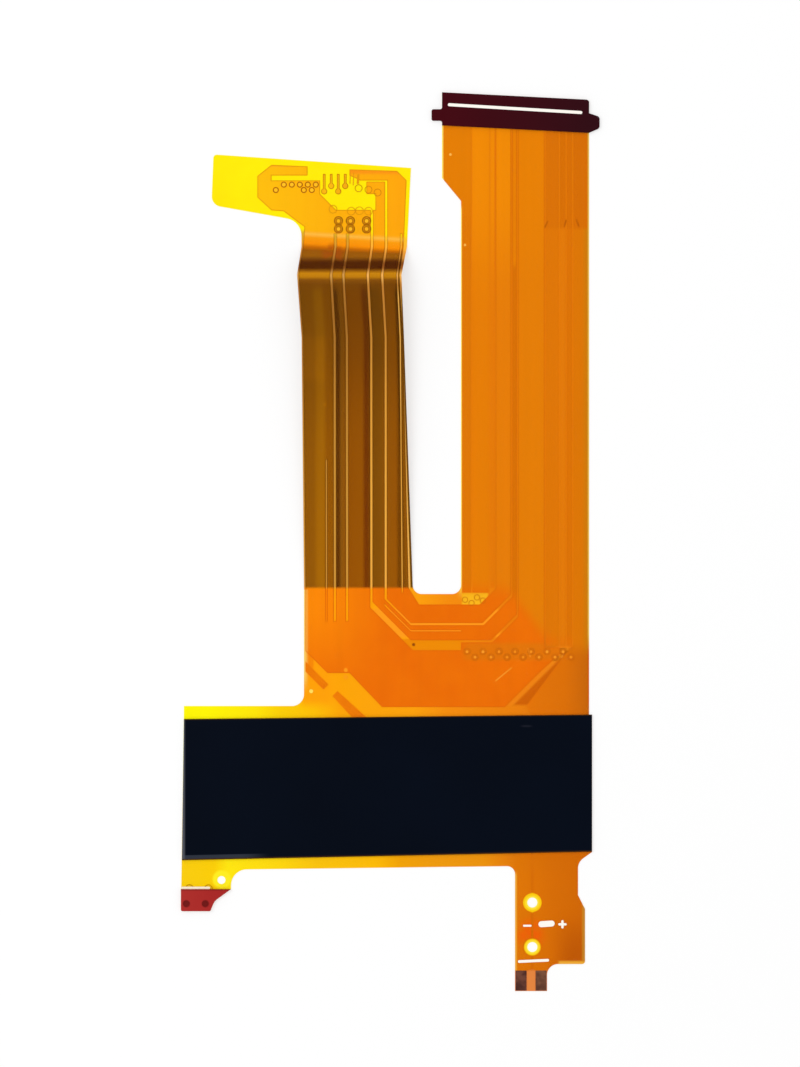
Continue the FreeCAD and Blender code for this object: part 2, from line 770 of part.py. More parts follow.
# Fine tracks at the top of the wing, each with a round land at its end
fine_left = "neck_left + window_left + via_radius + fine_gap"
fine_high = "wing_high - pour_inset"
fine_tracks = new_body("wing_signal_tracks")
fine_ends = []
fine_loops = []
for number in range(SIZES["fine_track_count"]):
    middle = f"{fine_left} + {number} * fine_track_pitch"
    left, right = f"{middle} - fine_track_width / 2", f"{middle} + fine_track_width / 2"
    end = f"{fine_high} - fine_track_length - {1 - number % 2} * via_stagger"
    fine_loops.append(rectangle(left, right, end, fine_high))
    fine_ends.append(((middle, end), "via_radius"))
add_plan(fine_tracks, fine_loops, "copper_low", "copper_thickness")
add_plan(fine_tracks, [], "copper_low", "copper_thickness", fine_ends)

# Round lands of the vias, which stand on the copper under one hollow of the cover film for each group
def hollow(left, right, low, high):
    """The outline of a hollow that clears the lands between these outermost centres."""
    room = "(via_radius + fine_gap)"
    return rectangle(f"{left} - {room}", f"{right} + {room}", f"{low} - {room}", f"{high} + {room}")


row_right = "neck_left + window_left - via_radius - fine_gap"
row_left = f"{row_right} - wing_via_count * wing_via_pitch"
row_high = f"{slit_high} - via_radius - fine_gap"
wing_row = [
    (f"{row_right} - {number} * wing_via_pitch", row_high) for number in range(SIZES["wing_via_count"])
]
lower_row = [
    (f"{row_right} - {number} * wing_via_pitch", f"{row_high} - via_stagger") for number in (0.5, 1.5)
]
lower_row.append((row_left, f"{row_high} - via_stagger"))
pair_left = "neck_left + (slot_2_offset + slot_3_offset) / 2"
pair_right = "neck_left + gap_4_offset + line_shift - half_gap - via_radius - fine_gap"
arm_head_pairs = [
    (across, f"wing_low - {number} * wing_via_pitch")
    for across in (pair_left, f"{pair_left} + wing_via_pitch * 3 / 2", pair_right)
    for number in range(2)
]
wing_vias = plan_body(
    "wing_vias",
    [],
    "copper_high",
    "plating_thickness",
    [(centre, "via_radius") for centre in wing_row + lower_row + arm_head_pairs],
)

body_row_left = "right_arm_left + pour_inset"
body_row_high = "via_row - via_radius - fine_gap"
body_row = [
    (f"{body_row_left} + {number} * small_via_pitch", f"{body_row_high} - {number % 2} * via_stagger")
    for number in range(SIZES["body_via_count"])
]
lands = [(centre, "small_via_radius") for centre in body_row]
body_vias = plan_body("body_vias", [], "copper_high", "plating_thickness", lands)
via_hollows = plan_body(
    "via_hollows",
    [
        hollow(row_left, row_right, f"{row_high} - via_stagger", row_high),
        hollow(pair_left, pair_right, "wing_low - wing_via_pitch", "wing_low"),
        hollow(
            body_row_left,
            f"{body_row_left} + (body_via_count - 1) * small_via_pitch",
            f"{body_row_high} - via_stagger",
            body_row_high,
        ),
    ],
    "copper_high",
    "plating_thickness",
)

# Bare contact fingers on the underside of the head, flush with the film
head_fingers = []
for number in range(SIZES["finger_count"]):
    left = f"head_left + finger_margin + {number} * finger_pitch"
    head_fingers.append(
        rectangle(left, f"{left} + finger_width", "copper_end - finger_length", "copper_end")
    )
head_contacts = plan_body("head_contacts", head_fingers, "0", "film_thickness")

# Base film, with windows for the bare fingers
film_sheet = boolean("Part::Common", "film_sheet", film_layer, film_block)
base_film = boolean("Part::Cut", "base_film", film_sheet, head_contacts)

# Cover film over the copper, open at the contacts of the tail
cover_sheet = boolean("Part::Common", "cover_sheet", cover_layer, film_block)
contact_window = plan_body(
    "contact_window",
    [rectangle("tail_left - blank_margin", "tip_right + blank_margin", "-blank_margin", contact_top)],
    "copper_low",
    "copper_thickness + cover_thickness",
)
copper_parts = [ground_conductor, signal_conductor, supply_conductor, *tracks, tail_plus, tail_minus, strips,
                fine_tracks]
cover_cutters = gather("cover_cutters", [contact_window, via_hollows, *copper_parts])
cover_film = boolean("Part::Cut", "cover_film", cover_sheet, cover_cutters)

# Black tape across the body
shield_tape = plan_body(
    "shield_tape",
    [[
        ("body_lean / 3", "body_low_left + tape_inset"),
        ("body_right", "body_low_left + tape_inset + tape_low_rise"),
        ("body_right", "body_high - tape_high_inset + tape_high_rise"),
        ("body_lean", "body_high - tape_high_inset"),
    ]],
    "cover_high",
    "tape_thickness",
)

# Stiffener over the head, with an ear at each side
ear_high_left = "head_top - ear_drop"
ear_high_right = "head_high - ear_drop"
head_stiffener = plan_body(
    "head_stiffener",
    [[
        ("head_left", "head_low + head_skew"),
        ("right_arm_right", "head_low"),
        ("overall_width", f"{ear_high_right} - ear_height", "ear_round"),
        ("overall_width", ear_high_right, "ear_round"),
        ("right_arm_right", f"{ear_high_right} + ear_round"),
        ("right_arm_right", "head_high", "head_round"),
        ("head_left", "head_top"),
        ("head_left", ear_high_left, "ear_join"),
        ("head_left - ear_length", ear_high_left, "ear_join"),
        ("head_left - ear_length", f"{ear_high_left} - ear_height", "ear_join"),
        ("head_left", f"{ear_high_left} - ear_height", "ear_join"),
    ]],
    "cover_high",
    "stiffener_thickness",
)

# Stiffener over the end of the tab, with two round dimples
tab_stiffener = plan_body(
    "tab_stiffener",
    [[
        ("0", "tab_low", "tab_corner_round"),
        ("tab_width", "tab_low", "tab_corner_round"),
        ("tab_width + tab_lean", "tab_low + tab_step", "tab_round"),
        ("tab_width + tab_flare", "tab_low + tab_height"),
        ("0", "tab_low + tab_height"),
    ]],
    "cover_high",
    "stiffener_thickness",
)
dimples = [
    (("tab_mark_inset", "tab_low + tab_mark_rise"), "tab_mark_radius"),
    (("tab_mark_inset + tab_mark_spacing", "tab_low + tab_mark_rise"), "tab_mark_radius"),
]
drill(tab_stiffener, dimples, "cover_high + stiffener_thickness - tab_mark_depth", "tab_mark_depth")

parts = [base_film, cover_film, *copper_parts, wing_vias, body_vias, *tail_contacts, head_contacts,
         shield_tape, head_stiffener, tab_stiffener]

doc.recompute()
for item in doc.Objects:
    if "Invalid" in item.State or "Error" in item.State:
        raise RuntimeError(f"{item.Label} failed: {item.State}")
    if item.TypeId == "Sketcher::SketchObject" and item.solve() != 0:
        raise RuntimeError(f"{item.Label} of {item.getParentGeoFeatureGroup().Label} isn't solved")
for item in doc.findObjects("PartDesign::Pocket"):
    if not item.Shape.Volume < item.BaseFeature.Shape.Volume:
        raise RuntimeError(f"{item.Label} cuts nothing")
for part in parts:
    if part.Shape.isNull() or not part.Shape.isValid() or not part.Shape.Solids:
        raise RuntimeError(f"{part.Label} has no valid solid")

os.makedirs("parts", exist_ok=True)
for part in parts:
    part.Shape.exportStep(f"parts/{part.Label}.step")
    box = part.Shape.BoundBox
    print(f"{part.Label}: {len(part.Shape.Solids)} solids, {part.Shape.Volume:.3f} mm3, "
          f"{box.XLength:.2f} x {box.YLength:.2f} x {box.ZLength:.2f}")
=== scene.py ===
# %% [markdown]
# # Flat flex cable
# The cable is a flexible printed circuit: an amber film with copper on it and a clear cover film
# over that. Its shapes come from the CAD model, which is loaded first and never moved. This file
# gives each layer its finish, and adds the paint and the fine rims that are too thin to be solids.

# %% Load the CAD model
import json
import math

import bmesh
import bpy
from mathutils import Matrix, Vector

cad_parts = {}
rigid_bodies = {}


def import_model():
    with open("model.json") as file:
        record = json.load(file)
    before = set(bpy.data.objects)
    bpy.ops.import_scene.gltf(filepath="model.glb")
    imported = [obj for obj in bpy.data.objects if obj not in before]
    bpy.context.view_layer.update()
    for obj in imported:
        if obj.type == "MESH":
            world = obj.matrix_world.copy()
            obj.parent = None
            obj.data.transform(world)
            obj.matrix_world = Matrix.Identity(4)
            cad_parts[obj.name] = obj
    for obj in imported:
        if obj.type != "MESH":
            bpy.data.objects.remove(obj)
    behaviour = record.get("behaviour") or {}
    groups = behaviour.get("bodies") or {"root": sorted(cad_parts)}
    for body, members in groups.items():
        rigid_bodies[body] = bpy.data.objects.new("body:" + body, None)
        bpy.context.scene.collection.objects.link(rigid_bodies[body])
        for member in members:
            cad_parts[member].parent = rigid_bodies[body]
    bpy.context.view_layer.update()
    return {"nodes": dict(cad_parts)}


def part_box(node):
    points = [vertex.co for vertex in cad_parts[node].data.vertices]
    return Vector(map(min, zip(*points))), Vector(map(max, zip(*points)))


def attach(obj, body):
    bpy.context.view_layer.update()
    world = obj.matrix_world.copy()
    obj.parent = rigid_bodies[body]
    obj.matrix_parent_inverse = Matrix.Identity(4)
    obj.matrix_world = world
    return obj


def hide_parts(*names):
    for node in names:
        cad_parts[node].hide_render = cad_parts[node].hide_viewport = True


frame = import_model()
nodes = frame["nodes"]

# %% [markdown]
# ## Places
# Sizes of added pieces are in millimetres. Details such as printed marks are placed by where they lie
# on a straight picture of the cable with ten pixels to the millimetre, so one function turns a column
# and a row of that picture into a point of the model. The tops of the layers are read from the model,
# so that whatever is added lies on what carries it.

# %% Units and places
MM = 0.001
PIXEL = 0.1
MIDDLE = (390.25, 541.75)
COPPER_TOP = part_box("right_arm_track_2")[1].z / MM
COVER_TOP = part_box("shield_tape")[0].z / MM
STIFFENER_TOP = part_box("head_stiffener")[1].z / MM


def place(column, row):
    """A point of the picture, in millimetres from the model's middle."""
    return (column - MIDDLE[0]) * PIXEL, (MIDDLE[1] - row) * PIXEL


print("tops in mm:", round(COPPER_TOP, 3), round(COVER_TOP, 3), round(STIFFENER_TOP, 3))

# %% [markdown]
# ## Camera
# The picture looks straight down, with almost no perspective. A long lens far above the cable gives
# that, and still lets other views be made. The sensor's width belongs to the picture's long side.

# %% Camera
VIEW_LENGTH = 106.7 * MM
VIEW_MIDDLE = (0.975 * MM, 0.825 * MM)
SENSOR = 36.0
LENS = 150.0
camera = bpy.data.objects.new("camera", bpy.data.cameras.new("camera"))
camera.data.sensor_width = SENSOR
camera.data.lens = LENS
camera.location = (*VIEW_MIDDLE, VIEW_LENGTH * LENS / SENSOR)
bpy.context.scene.collection.objects.link(camera)
bpy.context.scene.camera = camera
print("camera height", round(camera.location.z, 4))

# %% [markdown]
# ## Room
# A pale room lights the cable evenly. Where the camera or a reflection sees the room itself, past the
# floor, it is plain white, and everywhere else it is a little weaker: the three kinds of ray are added
# up, and the sum lifts the room's strength from its usual value to one.

# %% Room
scene = bpy.context.scene
scene.view_settings.view_transform = "Standard"
world = bpy.data.worlds.new("pale_room")
world.use_nodes = True
WHITE = (1.0, 1.0, 1.0, 1.0)
ROOM_LIGHT = 0.78
room_nodes, room_links = world.node_tree.nodes, world.node_tree.links
room_nodes["Background"].inputs["Color"].default_value = WHITE
rays = room_nodes.new("ShaderNodeLightPath")
seen = rays.outputs["Is Camera Ray"]
for ray in ("Is Glossy Ray", "Is Transmission Ray"):
    either = room_nodes.new("ShaderNodeMath")
    room_links.new(seen, either.inputs[0])
    room_links.new(rays.outputs[ray], either.inputs[1])
    seen = either.outputs[0]
strength = room_nodes.new("ShaderNodeMath")
strength.operation = "MULTIPLY_ADD"
strength.inputs[1].default_value = 1.0 - ROOM_LIGHT
strength.inputs[2].default_value = ROOM_LIGHT
room_links.new(seen, strength.inputs[0])
room_links.new(strength.outputs[0], room_nodes["Background"].inputs["Strength"])
scene.world = world
print("room light", ROOM_LIGHT)

# %% [markdown]
# ## Lamp
# One large soft lamp, up to the left, gives the films some direction. With the room it lights a white
# surface to about white, so that each colour shows as it is written.

# %% Lamp
LAMP_PLACE = (-0.35, 0.15, 0.6)
LAMP_WIDTH = 0.5
LAMP_WATTS = 1.7
lamp = bpy.data.objects.new("soft_lamp", bpy.data.lights.new("soft_lamp", "AREA"))
lamp.data.shape = "DISK"
lamp.data.size = LAMP_WIDTH
lamp.data.energy = LAMP_WATTS
lamp.location = LAMP_PLACE
lamp.rotation_euler = (-lamp.location).to_track_quat("-Z", "Y").to_euler()
scene.collection.objects.link(lamp)
print("lamp", lamp.data.energy, "W")

# %% [markdown]
# ## Sums in a shader
# A colour that depends on the place is worked out by maths nodes. Written one by one they would hide
# the idea, so a small class wraps a node's output and lets it be used in ordinary sums. Each sum adds
# the node that does it.


# %% Sums in a shader
class Level:
    """A value in a node tree that can be added, taken away, multiplied and divided."""

    def __init__(self, finish, socket):
        self.finish = finish
        self.socket = socket

    def combine(self, operation, first, second):
        return self.finish.add("ShaderNodeMath", {"operation": operation}, {0: first, 1: second})

    def __add__(self, other):
        return self.combine("ADD", self, other)

    __radd__ = __add__

    def __sub__(self, other):
        return self.combine("SUBTRACT", self, other)

    def __rsub__(self, other):
        return self.combine("SUBTRACT", other, self)

    def __mul__(self, other):
        return self.combine("MULTIPLY", self, other)

    __rmul__ = __mul__

    def __truediv__(self, other):
        return self.combine("DIVIDE", self, other)


print("sums: plus, minus, times and divided by")

# %% [markdown]
# ## Screen colours
# Colours are written as they look on a screen, from 0 to 255. A shader counts in amounts of light
# instead, so one function turns the first into the second.


# %% Screen colours
def tone(red, green, blue):
    """A screen colour, from 0 to 255, as the linear values that a shader uses."""

    def linear(level):
        share = level / 255
        return share / 12.92 if share < 0.04045 else ((share + 0.055) / 1.055) ** 2.4

    return (linear(red), linear(green), linear(blue), 1.0)


print("tone check", [round(level, 3) for level in tone(255, 128, 0)])

# %% [markdown]
# ## A placed material
# Every material is a Principled shader that knows the column and the row of each point, in the same
# picture as above. The class adds nodes, and feeds an input with a plain value or with a level.


# %% A placed material
class PlacedMaterial:
    """A material that knows the column and the row of each point of the cable."""

    def __init__(self, name, roughness=0.4, specular=0.03):
        self.material = bpy.data.materials.new(name)
        self.material.use_nodes = True
        self.tree = self.material.node_tree
        self.shader = self.tree.nodes["Principled BSDF"]
        self.shader.inputs["Roughness"].default_value = roughness
        self.shader.inputs["Specular IOR Level"].default_value = specular
        self.point = self.add("ShaderNodeTexCoord", {}, {}, "Object")
        across, along = [self.add("ShaderNodeSeparateXYZ", {}, {0: self.point}, axis) for axis in "XY"]
        self.column = across / (MM * PIXEL) + MIDDLE[0]
        self.row = MIDDLE[1] - along / (MM * PIXEL)

    def add(self, kind, settings, inputs, output=0):
        """Any node: its settings first, with a ramp's stops among them, and then its inputs."""
        node = self.tree.nodes.new(kind)
        for name, value in settings.items():
            if name == "stops":
                for position, shade in value[1:-1]:
                    node.color_ramp.elements.new(position).color = shade
                node.color_ramp.elements[0].position, node.color_ramp.elements[0].color = value[0]
                node.color_ramp.elements[-1].position, node.color_ramp.elements[-1].color = value[-1]
            else:
                setattr(node, name, value)
        for name, value in inputs.items():
            self.feed(node.inputs[name], value)
        return Level(self, node.outputs[output])

    def feed(self, socket, value):
        if isinstance(value, Level):
            self.tree.links.new(value.socket, socket)
        else:
            socket.default_value = value

    def wear(self, base, **others):
        """Give the shader its colour and whatever else varies."""
        self.feed(self.shader.inputs["Base Color"], base)
        for name, value in others.items():
            self.feed(self.shader.inputs[name], value)
        return self.material


print("each material counts", 1 / PIXEL, "pixels to the millimetre")

# %% [markdown]
# ## A finish
# A finish mixes its colour from the place on the cable. It can make soft steps, stripes and spots,
# ramps of colours, and clouds. Clouds are noise: a film or a copper sheet is never quite even.


# %% A finish
class Finish(PlacedMaterial):
    """A material with soft steps, stripes, spots, ramps and clouds."""

    def rise(self, value, start, end):
        """0 before start and 1 past end, with a soft change between them."""
        limits = {"Value": value, "From Min": start, "From Max": end}
        return self.add("ShaderNodeMapRange", {"interpolation_type": "SMOOTHSTEP"}, limits)

    def band(self, value, start, end, soft=1.0):
        """1 between start and end, and 0 elsewhere."""
        begun = self.rise(value, start - soft, start + soft)
        return begun * (1 - self.rise(value, end - soft, end + soft))

    def near(self, centre, radius, soft=0.8):
        """1 inside a circle round a place, and 0 outside it."""
        across, down = self.column - centre[0], self.row - centre[1]
        squares = across * across + down * down
        distance = self.add("ShaderNodeMath", {"operation": "SQRT"}, {0: squares})
        return 1 - self.rise(distance, radius - soft, radius + soft)

    def blend(self, share, first, second):
        """The first colour where share is 0, and the second where it is 1."""
        return self.add("ShaderNodeMix", {"data_type": "RGBA"}, {0: share, 6: first, 7: second}, 2)

    def shade(self, base, strength):
        """A colour made lighter or darker by a level round 1."""
        channels = {"Red": strength, "Green": strength, "Blue": strength}
        grey = self.add("ShaderNodeCombineColor", {}, channels)
        settings = {"data_type": "RGBA", "blend_type": "MULTIPLY"}
        return self.add("ShaderNodeMix", settings, {0: 1.0, 6: base, 7: grey}, 2)

    def gradient(self, value, stops):
        """Colours that change along a value, from pairs of a value and a screen colour."""
        first, last = stops[0][0], stops[-1][0]
        marks = [((at - first) / (last - first), tone(*shade)) for at, shade in stops]
        share = (value - first) / (last - first)
        return self.add("ShaderNodeValToRGB", {"stops": marks}, {"Fac": share}, "Color")

    def mottle(self, grain, stretch=(1.0, 1.0, 1.0)):
        """Soft cloudy noise from 0 to 1, with about grain clouds to the millimetre."""
        scale = tuple(grain / MM * side for side in stretch)
        moved = self.add("ShaderNodeMapping", {}, {"Vector": self.point, "Scale": scale})
        return self.add("ShaderNodeTexNoise", {}, {"Vector": moved, "Scale": 1.0, "Detail": 3.0})

    def relief(self, height, depth=0.02, strength=0.15):
        """A slight roughness of the surface, from a cloudy level, with its depth in millimetres."""
        bump = {"Strength": strength, "Distance": depth * MM, "Height": height}
        return self.add("ShaderNodeBump", {}, bump)

    def fine_grain(self):
        """The small grain of a painted surface."""
        return self.relief(self.mottle(3.0), 0.03, 0.2)


def dress(name, material):
    """Give a CAD node its finish."""
    nodes[name].data.materials.clear()
    nodes[name].data.materials.append(material)
    print(name, "wears", material.name)


print("CAD nodes to dress:", len(nodes))

# %% [markdown]
# ## Zones of the cable
# The same amber film looks yellow where it is bare, orange over the copper of the body, and brown on
# the left arm, which is bent upwards and turns away from the light. So each finish is given four
# colours, and one function chooses between them by the place, with soft changes where zones meet.
# Each pair of numbers says between which two columns or rows one zone changes into the next.

# %% Zones of the cable
PARTING = (456, 461)
HEAD_REACH = 26
HEAD_REACH_END = (480, 520)
LEFT_FOOT = (586, 589.5)
RIGHT_FOOT = (576, 602)
RIGHT_FOOT_DROP = 55
RIGHT_FOOT_SLOPE = (500, 560)
WING_START = (228, 234)
BEND_END = (250, 262)
BEND_TILT = 0.06
ARM_LEFT = 301.75


def tilted_row(finish):
    """The row, a little less to the right, as the bend below the wing isn't quite square."""
    past_bend = finish.rise(finish.row, *BEND_END)
    return finish.row - BEND_TILT * (finish.column - ARM_LEFT) * (1 - past_bend)


def zoned(finish, body, left_arm, right_arm, wing):
    """One colour for each zone of the cable. Above the notch the right side starts further left."""
    reach = HEAD_REACH * (1 - finish.rise(finish.row, *HEAD_REACH_END))
    on_right = finish.rise(finish.column + reach, *PARTING)
    past_foot = 1 - finish.rise(finish.row, *LEFT_FOOT)
    lowered = finish.row - RIGHT_FOOT_DROP * finish.rise(finish.column, *RIGHT_FOOT_SLOPE)
    past_right_foot = 1 - finish.rise(lowered, *RIGHT_FOOT)
    in_wing = 1 - finish.rise(tilted_row(finish), *WING_START)
    left = finish.blend(past_foot, body, finish.blend(in_wing, left_arm, wing))
    right = finish.blend(past_right_foot, body, right_arm)
    return finish.blend(on_right, left, right)


print("zones: body, left arm, right arm and wing")

# %% [markdown]
# ## Colours along the left arm
# The bend makes bands of painted light and shade across the left arm: orange at the wing, a painted
# shade band on the short slope, and a painted golden highlight on the crest. Two ramps hold them, one
# for copper and one for bare film in the slots. Below the bend a third ramp runs across the arm,
# because there its lanes differ more from side to side than along it, and fine painted shadow lines
# lie beside some of the slots.

# %% Colours along the left arm
# Stops from 256 to 272 are the painted shade of the slope, and those near 275 the painted highlight on
# the crest.
COPPER_ALONG_ARM = [
    (230, (254, 172, 16)), (233.5, (255, 192, 70)), (237, (252, 160, 12)), (243, (249, 146, 4)),
    (246.5, (196, 104, 2)), (250, (150, 84, 6)), (256, (146, 88, 10)), (260, (104, 54, 8)),
    (263, (57, 6, 0)), (269, (57, 6, 0)), (272, (140, 84, 8)), (274.5, (198, 132, 14)),
    (278, (188, 124, 12)), (281, (128, 74, 6)), (286, (106, 58, 4)), (300, (102, 55, 2)),
]
# The film in the slots has the same painted shade and highlight at the bend, and gets lighter towards
# the body as the painted shade of the raised arm fades.
FILM_ALONG_ARM = [
    (230, (255, 206, 40)), (242, (255, 190, 60)), (247, (235, 160, 60)), (258, (206, 140, 56)),
    (264, (130, 70, 26)), (269, (150, 84, 30)), (276, (250, 190, 96)), (286, (196, 130, 52)),
    (320, (190, 126, 48)), (400, (220, 154, 58)), (490, (238, 172, 66)), (589, (244, 176, 70)),
]
# The darkest stops, beside the slots near 338, 366 and 399, are painted shadow lines.
COPPER_ACROSS_ARM = [
    (300, (146, 86, 8)), (304, (140, 82, 4)), (314, (143, 84, 3)), (318, (160, 99, 3)),
    (323, (164, 102, 4)), (327, (147, 84, 1)), (335, (140, 80, 2)), (337.2, (84, 40, 0)),
    (339, (84, 40, 0)), (341.5, (134, 80, 10)), (349, (144, 76, 0)), (362, (148, 80, 1)),
    (365.2, (112, 46, 0)), (367.4, (108, 44, 0)), (372, (122, 71, 3)), (380, (126, 74, 3)),
    (387, (148, 83, 4)), (396, (146, 80, 2)), (399, (104, 54, 0)), (401, (120, 66, 2)),
    (405, (140, 80, 4)),
]
print("bands:", len(COPPER_ALONG_ARM), "along the arm and", len(COPPER_ACROSS_ARM), "across it")

# %% [markdown]
# The lanes lean a little, and near the crest they lie further left. Their painted shade, from the
# raised arm, is darkest near the crest and lifts towards the body.
# A painted shadow line runs beside the right edge, and there are a pale patch and a pale spot on the
# left.

# %% Copper of the left arm
ARM_FOOT = (412.6, 588)
ARM_LEAN = 0.032
CREST_SHIFT = 3.3
SHIFT_END = (275, 340)
BELOW_CREST = (282, 296)
# Painted shade of the raised arm: the lanes' level near the crest, and how much it lifts towards the
# body.
CREST_SHADE_LEVEL = 0.52
LIGHTER = (((292, 470), 0.4), ((440, 588), 0.08))
PALE_PATCH = ((338, 381, 5), (322, 330))
# A painted shadow line along the left arm's right edge.
EDGE_SHADOW_LINE = (-8.4, -6.0)
PALE_SPOT = ((325, 405), 1.3)
BLUSH = ((333, 254), 10, 4)
BLUSH_RED = tone(166, 64, 10)


def along_arm(finish, stops):
    """Colours that change down the left arm, from the wing to the body."""
    return finish.gradient(tilted_row(finish), stops)


def from_right_edge(finish):
    """How far a point is from the left arm's right edge, which leans: negative inside."""
    return finish.column + ARM_LEAN * (ARM_FOOT[1] - finish.row) - ARM_FOOT[0]


def lane_light(finish):
    """How light the lanes are: painted shade lifting towards the body, a pale patch, a painted shadow
    line and a spot.
    """
    light = CREST_SHADE_LEVEL
    for rows, gain in LIGHTER:
        light = light + gain * finish.rise(finish.row, *rows)
    rows, right_end = PALE_PATCH
    patch = finish.band(finish.row, *rows) * (1 - finish.rise(finish.column, *right_end))
    edge_shadow = finish.band(from_right_edge(finish), *EDGE_SHADOW_LINE)
    return light + 0.1 * patch - 0.25 * edge_shadow + 0.4 * finish.near(*PALE_SPOT)


def arm_copper(finish):
    """Bands of painted shade and highlight and a reddish blush across the bend, and below it lanes
    along the arm.
    """
    straight = finish.column + CREST_SHIFT * (1 - finish.rise(finish.row, *SHIFT_END))
    lanes = finish.shade(finish.gradient(straight, COPPER_ACROSS_ARM), lane_light(finish))
    blush = finish.near(*BLUSH) * finish.rise(finish.mottle(0.7), 0.45, 0.6)
    bend = finish.blend(0.6 * blush, along_arm(finish, COPPER_ALONG_ARM), BLUSH_RED)
    return finish.blend(finish.rise(finish.row, *BELOW_CREST), bend, lanes)


print("the left arm leans", ARM_LEAN, "to the side")

# %% [markdown]
# ## Edges
# The copper ends a little before the film does, and the film's own edge catches the light. So thin
# yellow lines run along the left edge of the body and round the tail. The finishes of the copper and
# of the film both use these functions, which lets each line keep one colour across the two.

# %% Edges
EDGE_YELLOW = tone(247, 206, 96)
TAIL_YELLOW = tone(238, 176, 56)
TAIL_DULL = tone(200, 136, 40)


def left_edge(finish, colour):
    """The body's colour, with a yellow line along its left edge above the tape."""
    above_tape = finish.rise(finish.row, 589, 590) * (1 - finish.rise(finish.row, 672, 694))
    at_edge = 1 - finish.rise(finish.column, 304.5, 309)
    return finish.blend(at_edge * above_tape, colour, EDGE_YELLOW)


def tail_edges(finish, colour):
    """The tail's colour, with a yellow line at the left and the foot, and a dull one at the right."""
    foot = finish.rise(finish.row, 959.6, 962.6) * finish.rise(finish.column, 557, 560)
    left = finish.band(finish.column, 508, 516.7) * finish.rise(finish.row, 870, 876)
    right = finish.rise(finish.column, 580.8, 583.8) * finish.rise(finish.row, 900, 906)
    yellow = finish.blend(foot + left, colour, TAIL_YELLOW)
    return finish.blend(right * (1 - foot), yellow, TAIL_DULL)


print("edges: left of the body, and round the tail")

# %% [markdown]
# ## Film of the body
# Bare film is a strong yellow at the left end of the body. Towards the right more amber lies under it,
# so it turns orange. Some patches differ: the film beside the notch, the slots between the bands, the
# wide gap below them, and a slanting stripe in the lower right corner. The left margin, and the
# leftmost slot where it runs on from the arm into the body, are coloured like the copper round them.

# %% Film of the body
ABOVE_TAPE = [
    (184, (254, 250, 2)), (208, (254, 250, 2)), (256, (254, 232, 5)), (280, (251, 210, 2)),
    (316, (253, 193, 3)), (340, (251, 166, 3)), (412, (253, 165, 10)), (448, (245, 142, 12)),
    (520, (234, 128, 11)), (544, (216, 116, 12)), (580, (198, 106, 18)),
]
BODY_PATCHES = [
    ((462, 488, 1), (593, 607, 1), (250, 190, 30)),
    ((372, 500, 4), (609, 637, 2), (254, 158, 28)),
    ((400, 462, 3), (639, 652, 1), (238, 140, 2)),
]
STRIP_FILM = tone(253, 162, 5)
LIKE_COPPER = tone(246, 136, 3)
CORNER_START = (1200, 1206)
STRIPE_END = (1216, 1221)
STRIPE_ORANGE = tone(238, 132, 18)
CORNER_BROWN = tone(206, 94, 2)


def film_above_tape(film):
    """The film of the body from the notch down to the tape."""
    slant = film.column + film.row
    corner = film.rise(slant, *CORNER_START) * film.rise(film.column, 496, 508)
    corner = corner * (1 - film.rise(film.row, 703, 707))
    stripe = film.blend(film.rise(slant, *STRIPE_END), STRIPE_ORANGE, CORNER_BROWN)
    above = film.blend(corner, film.gradient(film.column, ABOVE_TAPE), stripe)
    for columns, rows, shade in BODY_PATCHES:
        patch = film.band(film.column, *columns) * film.band(film.row, *rows)
        above = film.blend(patch, above, tone(*shade))
    by_strips = film.rise(film.column, 296, 306) * (1 - film.rise(film.column, 325, 350))
    by_strips = by_strips * (1 - film.rise(film.row, 698, 712))
    above = film.blend(by_strips, above, STRIP_FILM)
    margin = (1 - film.rise(film.column, 312.5, 315)) * film.band(film.row, 589, 668, 2)
    slot = film.band(film.column, 322, 330) * film.band(film.row, 589, 626)
    return left_edge(film, film.blend(margin + slot, above, LIKE_COPPER))


print("film of the body:", len(ABOVE_TAPE), "stops and", len(BODY_PATCHES), "patches")

# %% [markdown]
# ## Film of the tail and the tab
# Each tooling hole has a clear yellow ring, because no copper comes near the hole. The film between
# the two tail contacts is a pale salmon.

# %% Film of the tail and the tab
BELOW_TAPE = [
    (184, (248, 208, 12)), (214, (250, 209, 3)), (228, (254, 234, 14)), (280, (252, 217, 13)),
    (316, (248, 197, 10)), (376, (252, 189, 4)), (400, (241, 164, 2)), (436, (238, 156, 12)),
    (484, (234, 146, 10)), (505, (228, 128, 8)), (520, (218, 114, 4)), (585, (212, 106, 2)),
]
TAB_RING = ((221.7, 879.3), 9.0, 1.5)
TAIL_RINGS = (((532.3, 902.6), 9.7), ((532.3, 947.1), 8.3))
HOLE_EDGE = (6.6, 1.6)
CLEAR_FILM = tone(255, 242, 34)
RING_YELLOW, RING_LIGHT = tone(252, 208, 12), tone(255, 238, 70)
TAIL_FILM = tone(214, 108, 2)
SALMON = tone(226, 132, 63)


def film_below_tape(film):
    """The film of the body below the tape, with the tab and the tail."""
    below = film.gradient(film.column, BELOW_TAPE)
    below = film.blend(film.near(*TAB_RING), below, CLEAR_FILM)
    tail = film.rise(film.column, 505, 515)
    below = tail_edges(film, film.blend(tail * film.rise(film.row, 868, 876), below, TAIL_FILM))
    below = film.blend(tail * film.rise(film.row, 968, 972), below, SALMON)
    for centre, radius in TAIL_RINGS:
        ring = film.blend(film.near(centre, *HOLE_EDGE), RING_YELLOW, RING_LIGHT)
        below = film.blend(film.near(centre, radius), below, ring)
    return below


print("clear rings:", 1 + len(TAIL_RINGS))
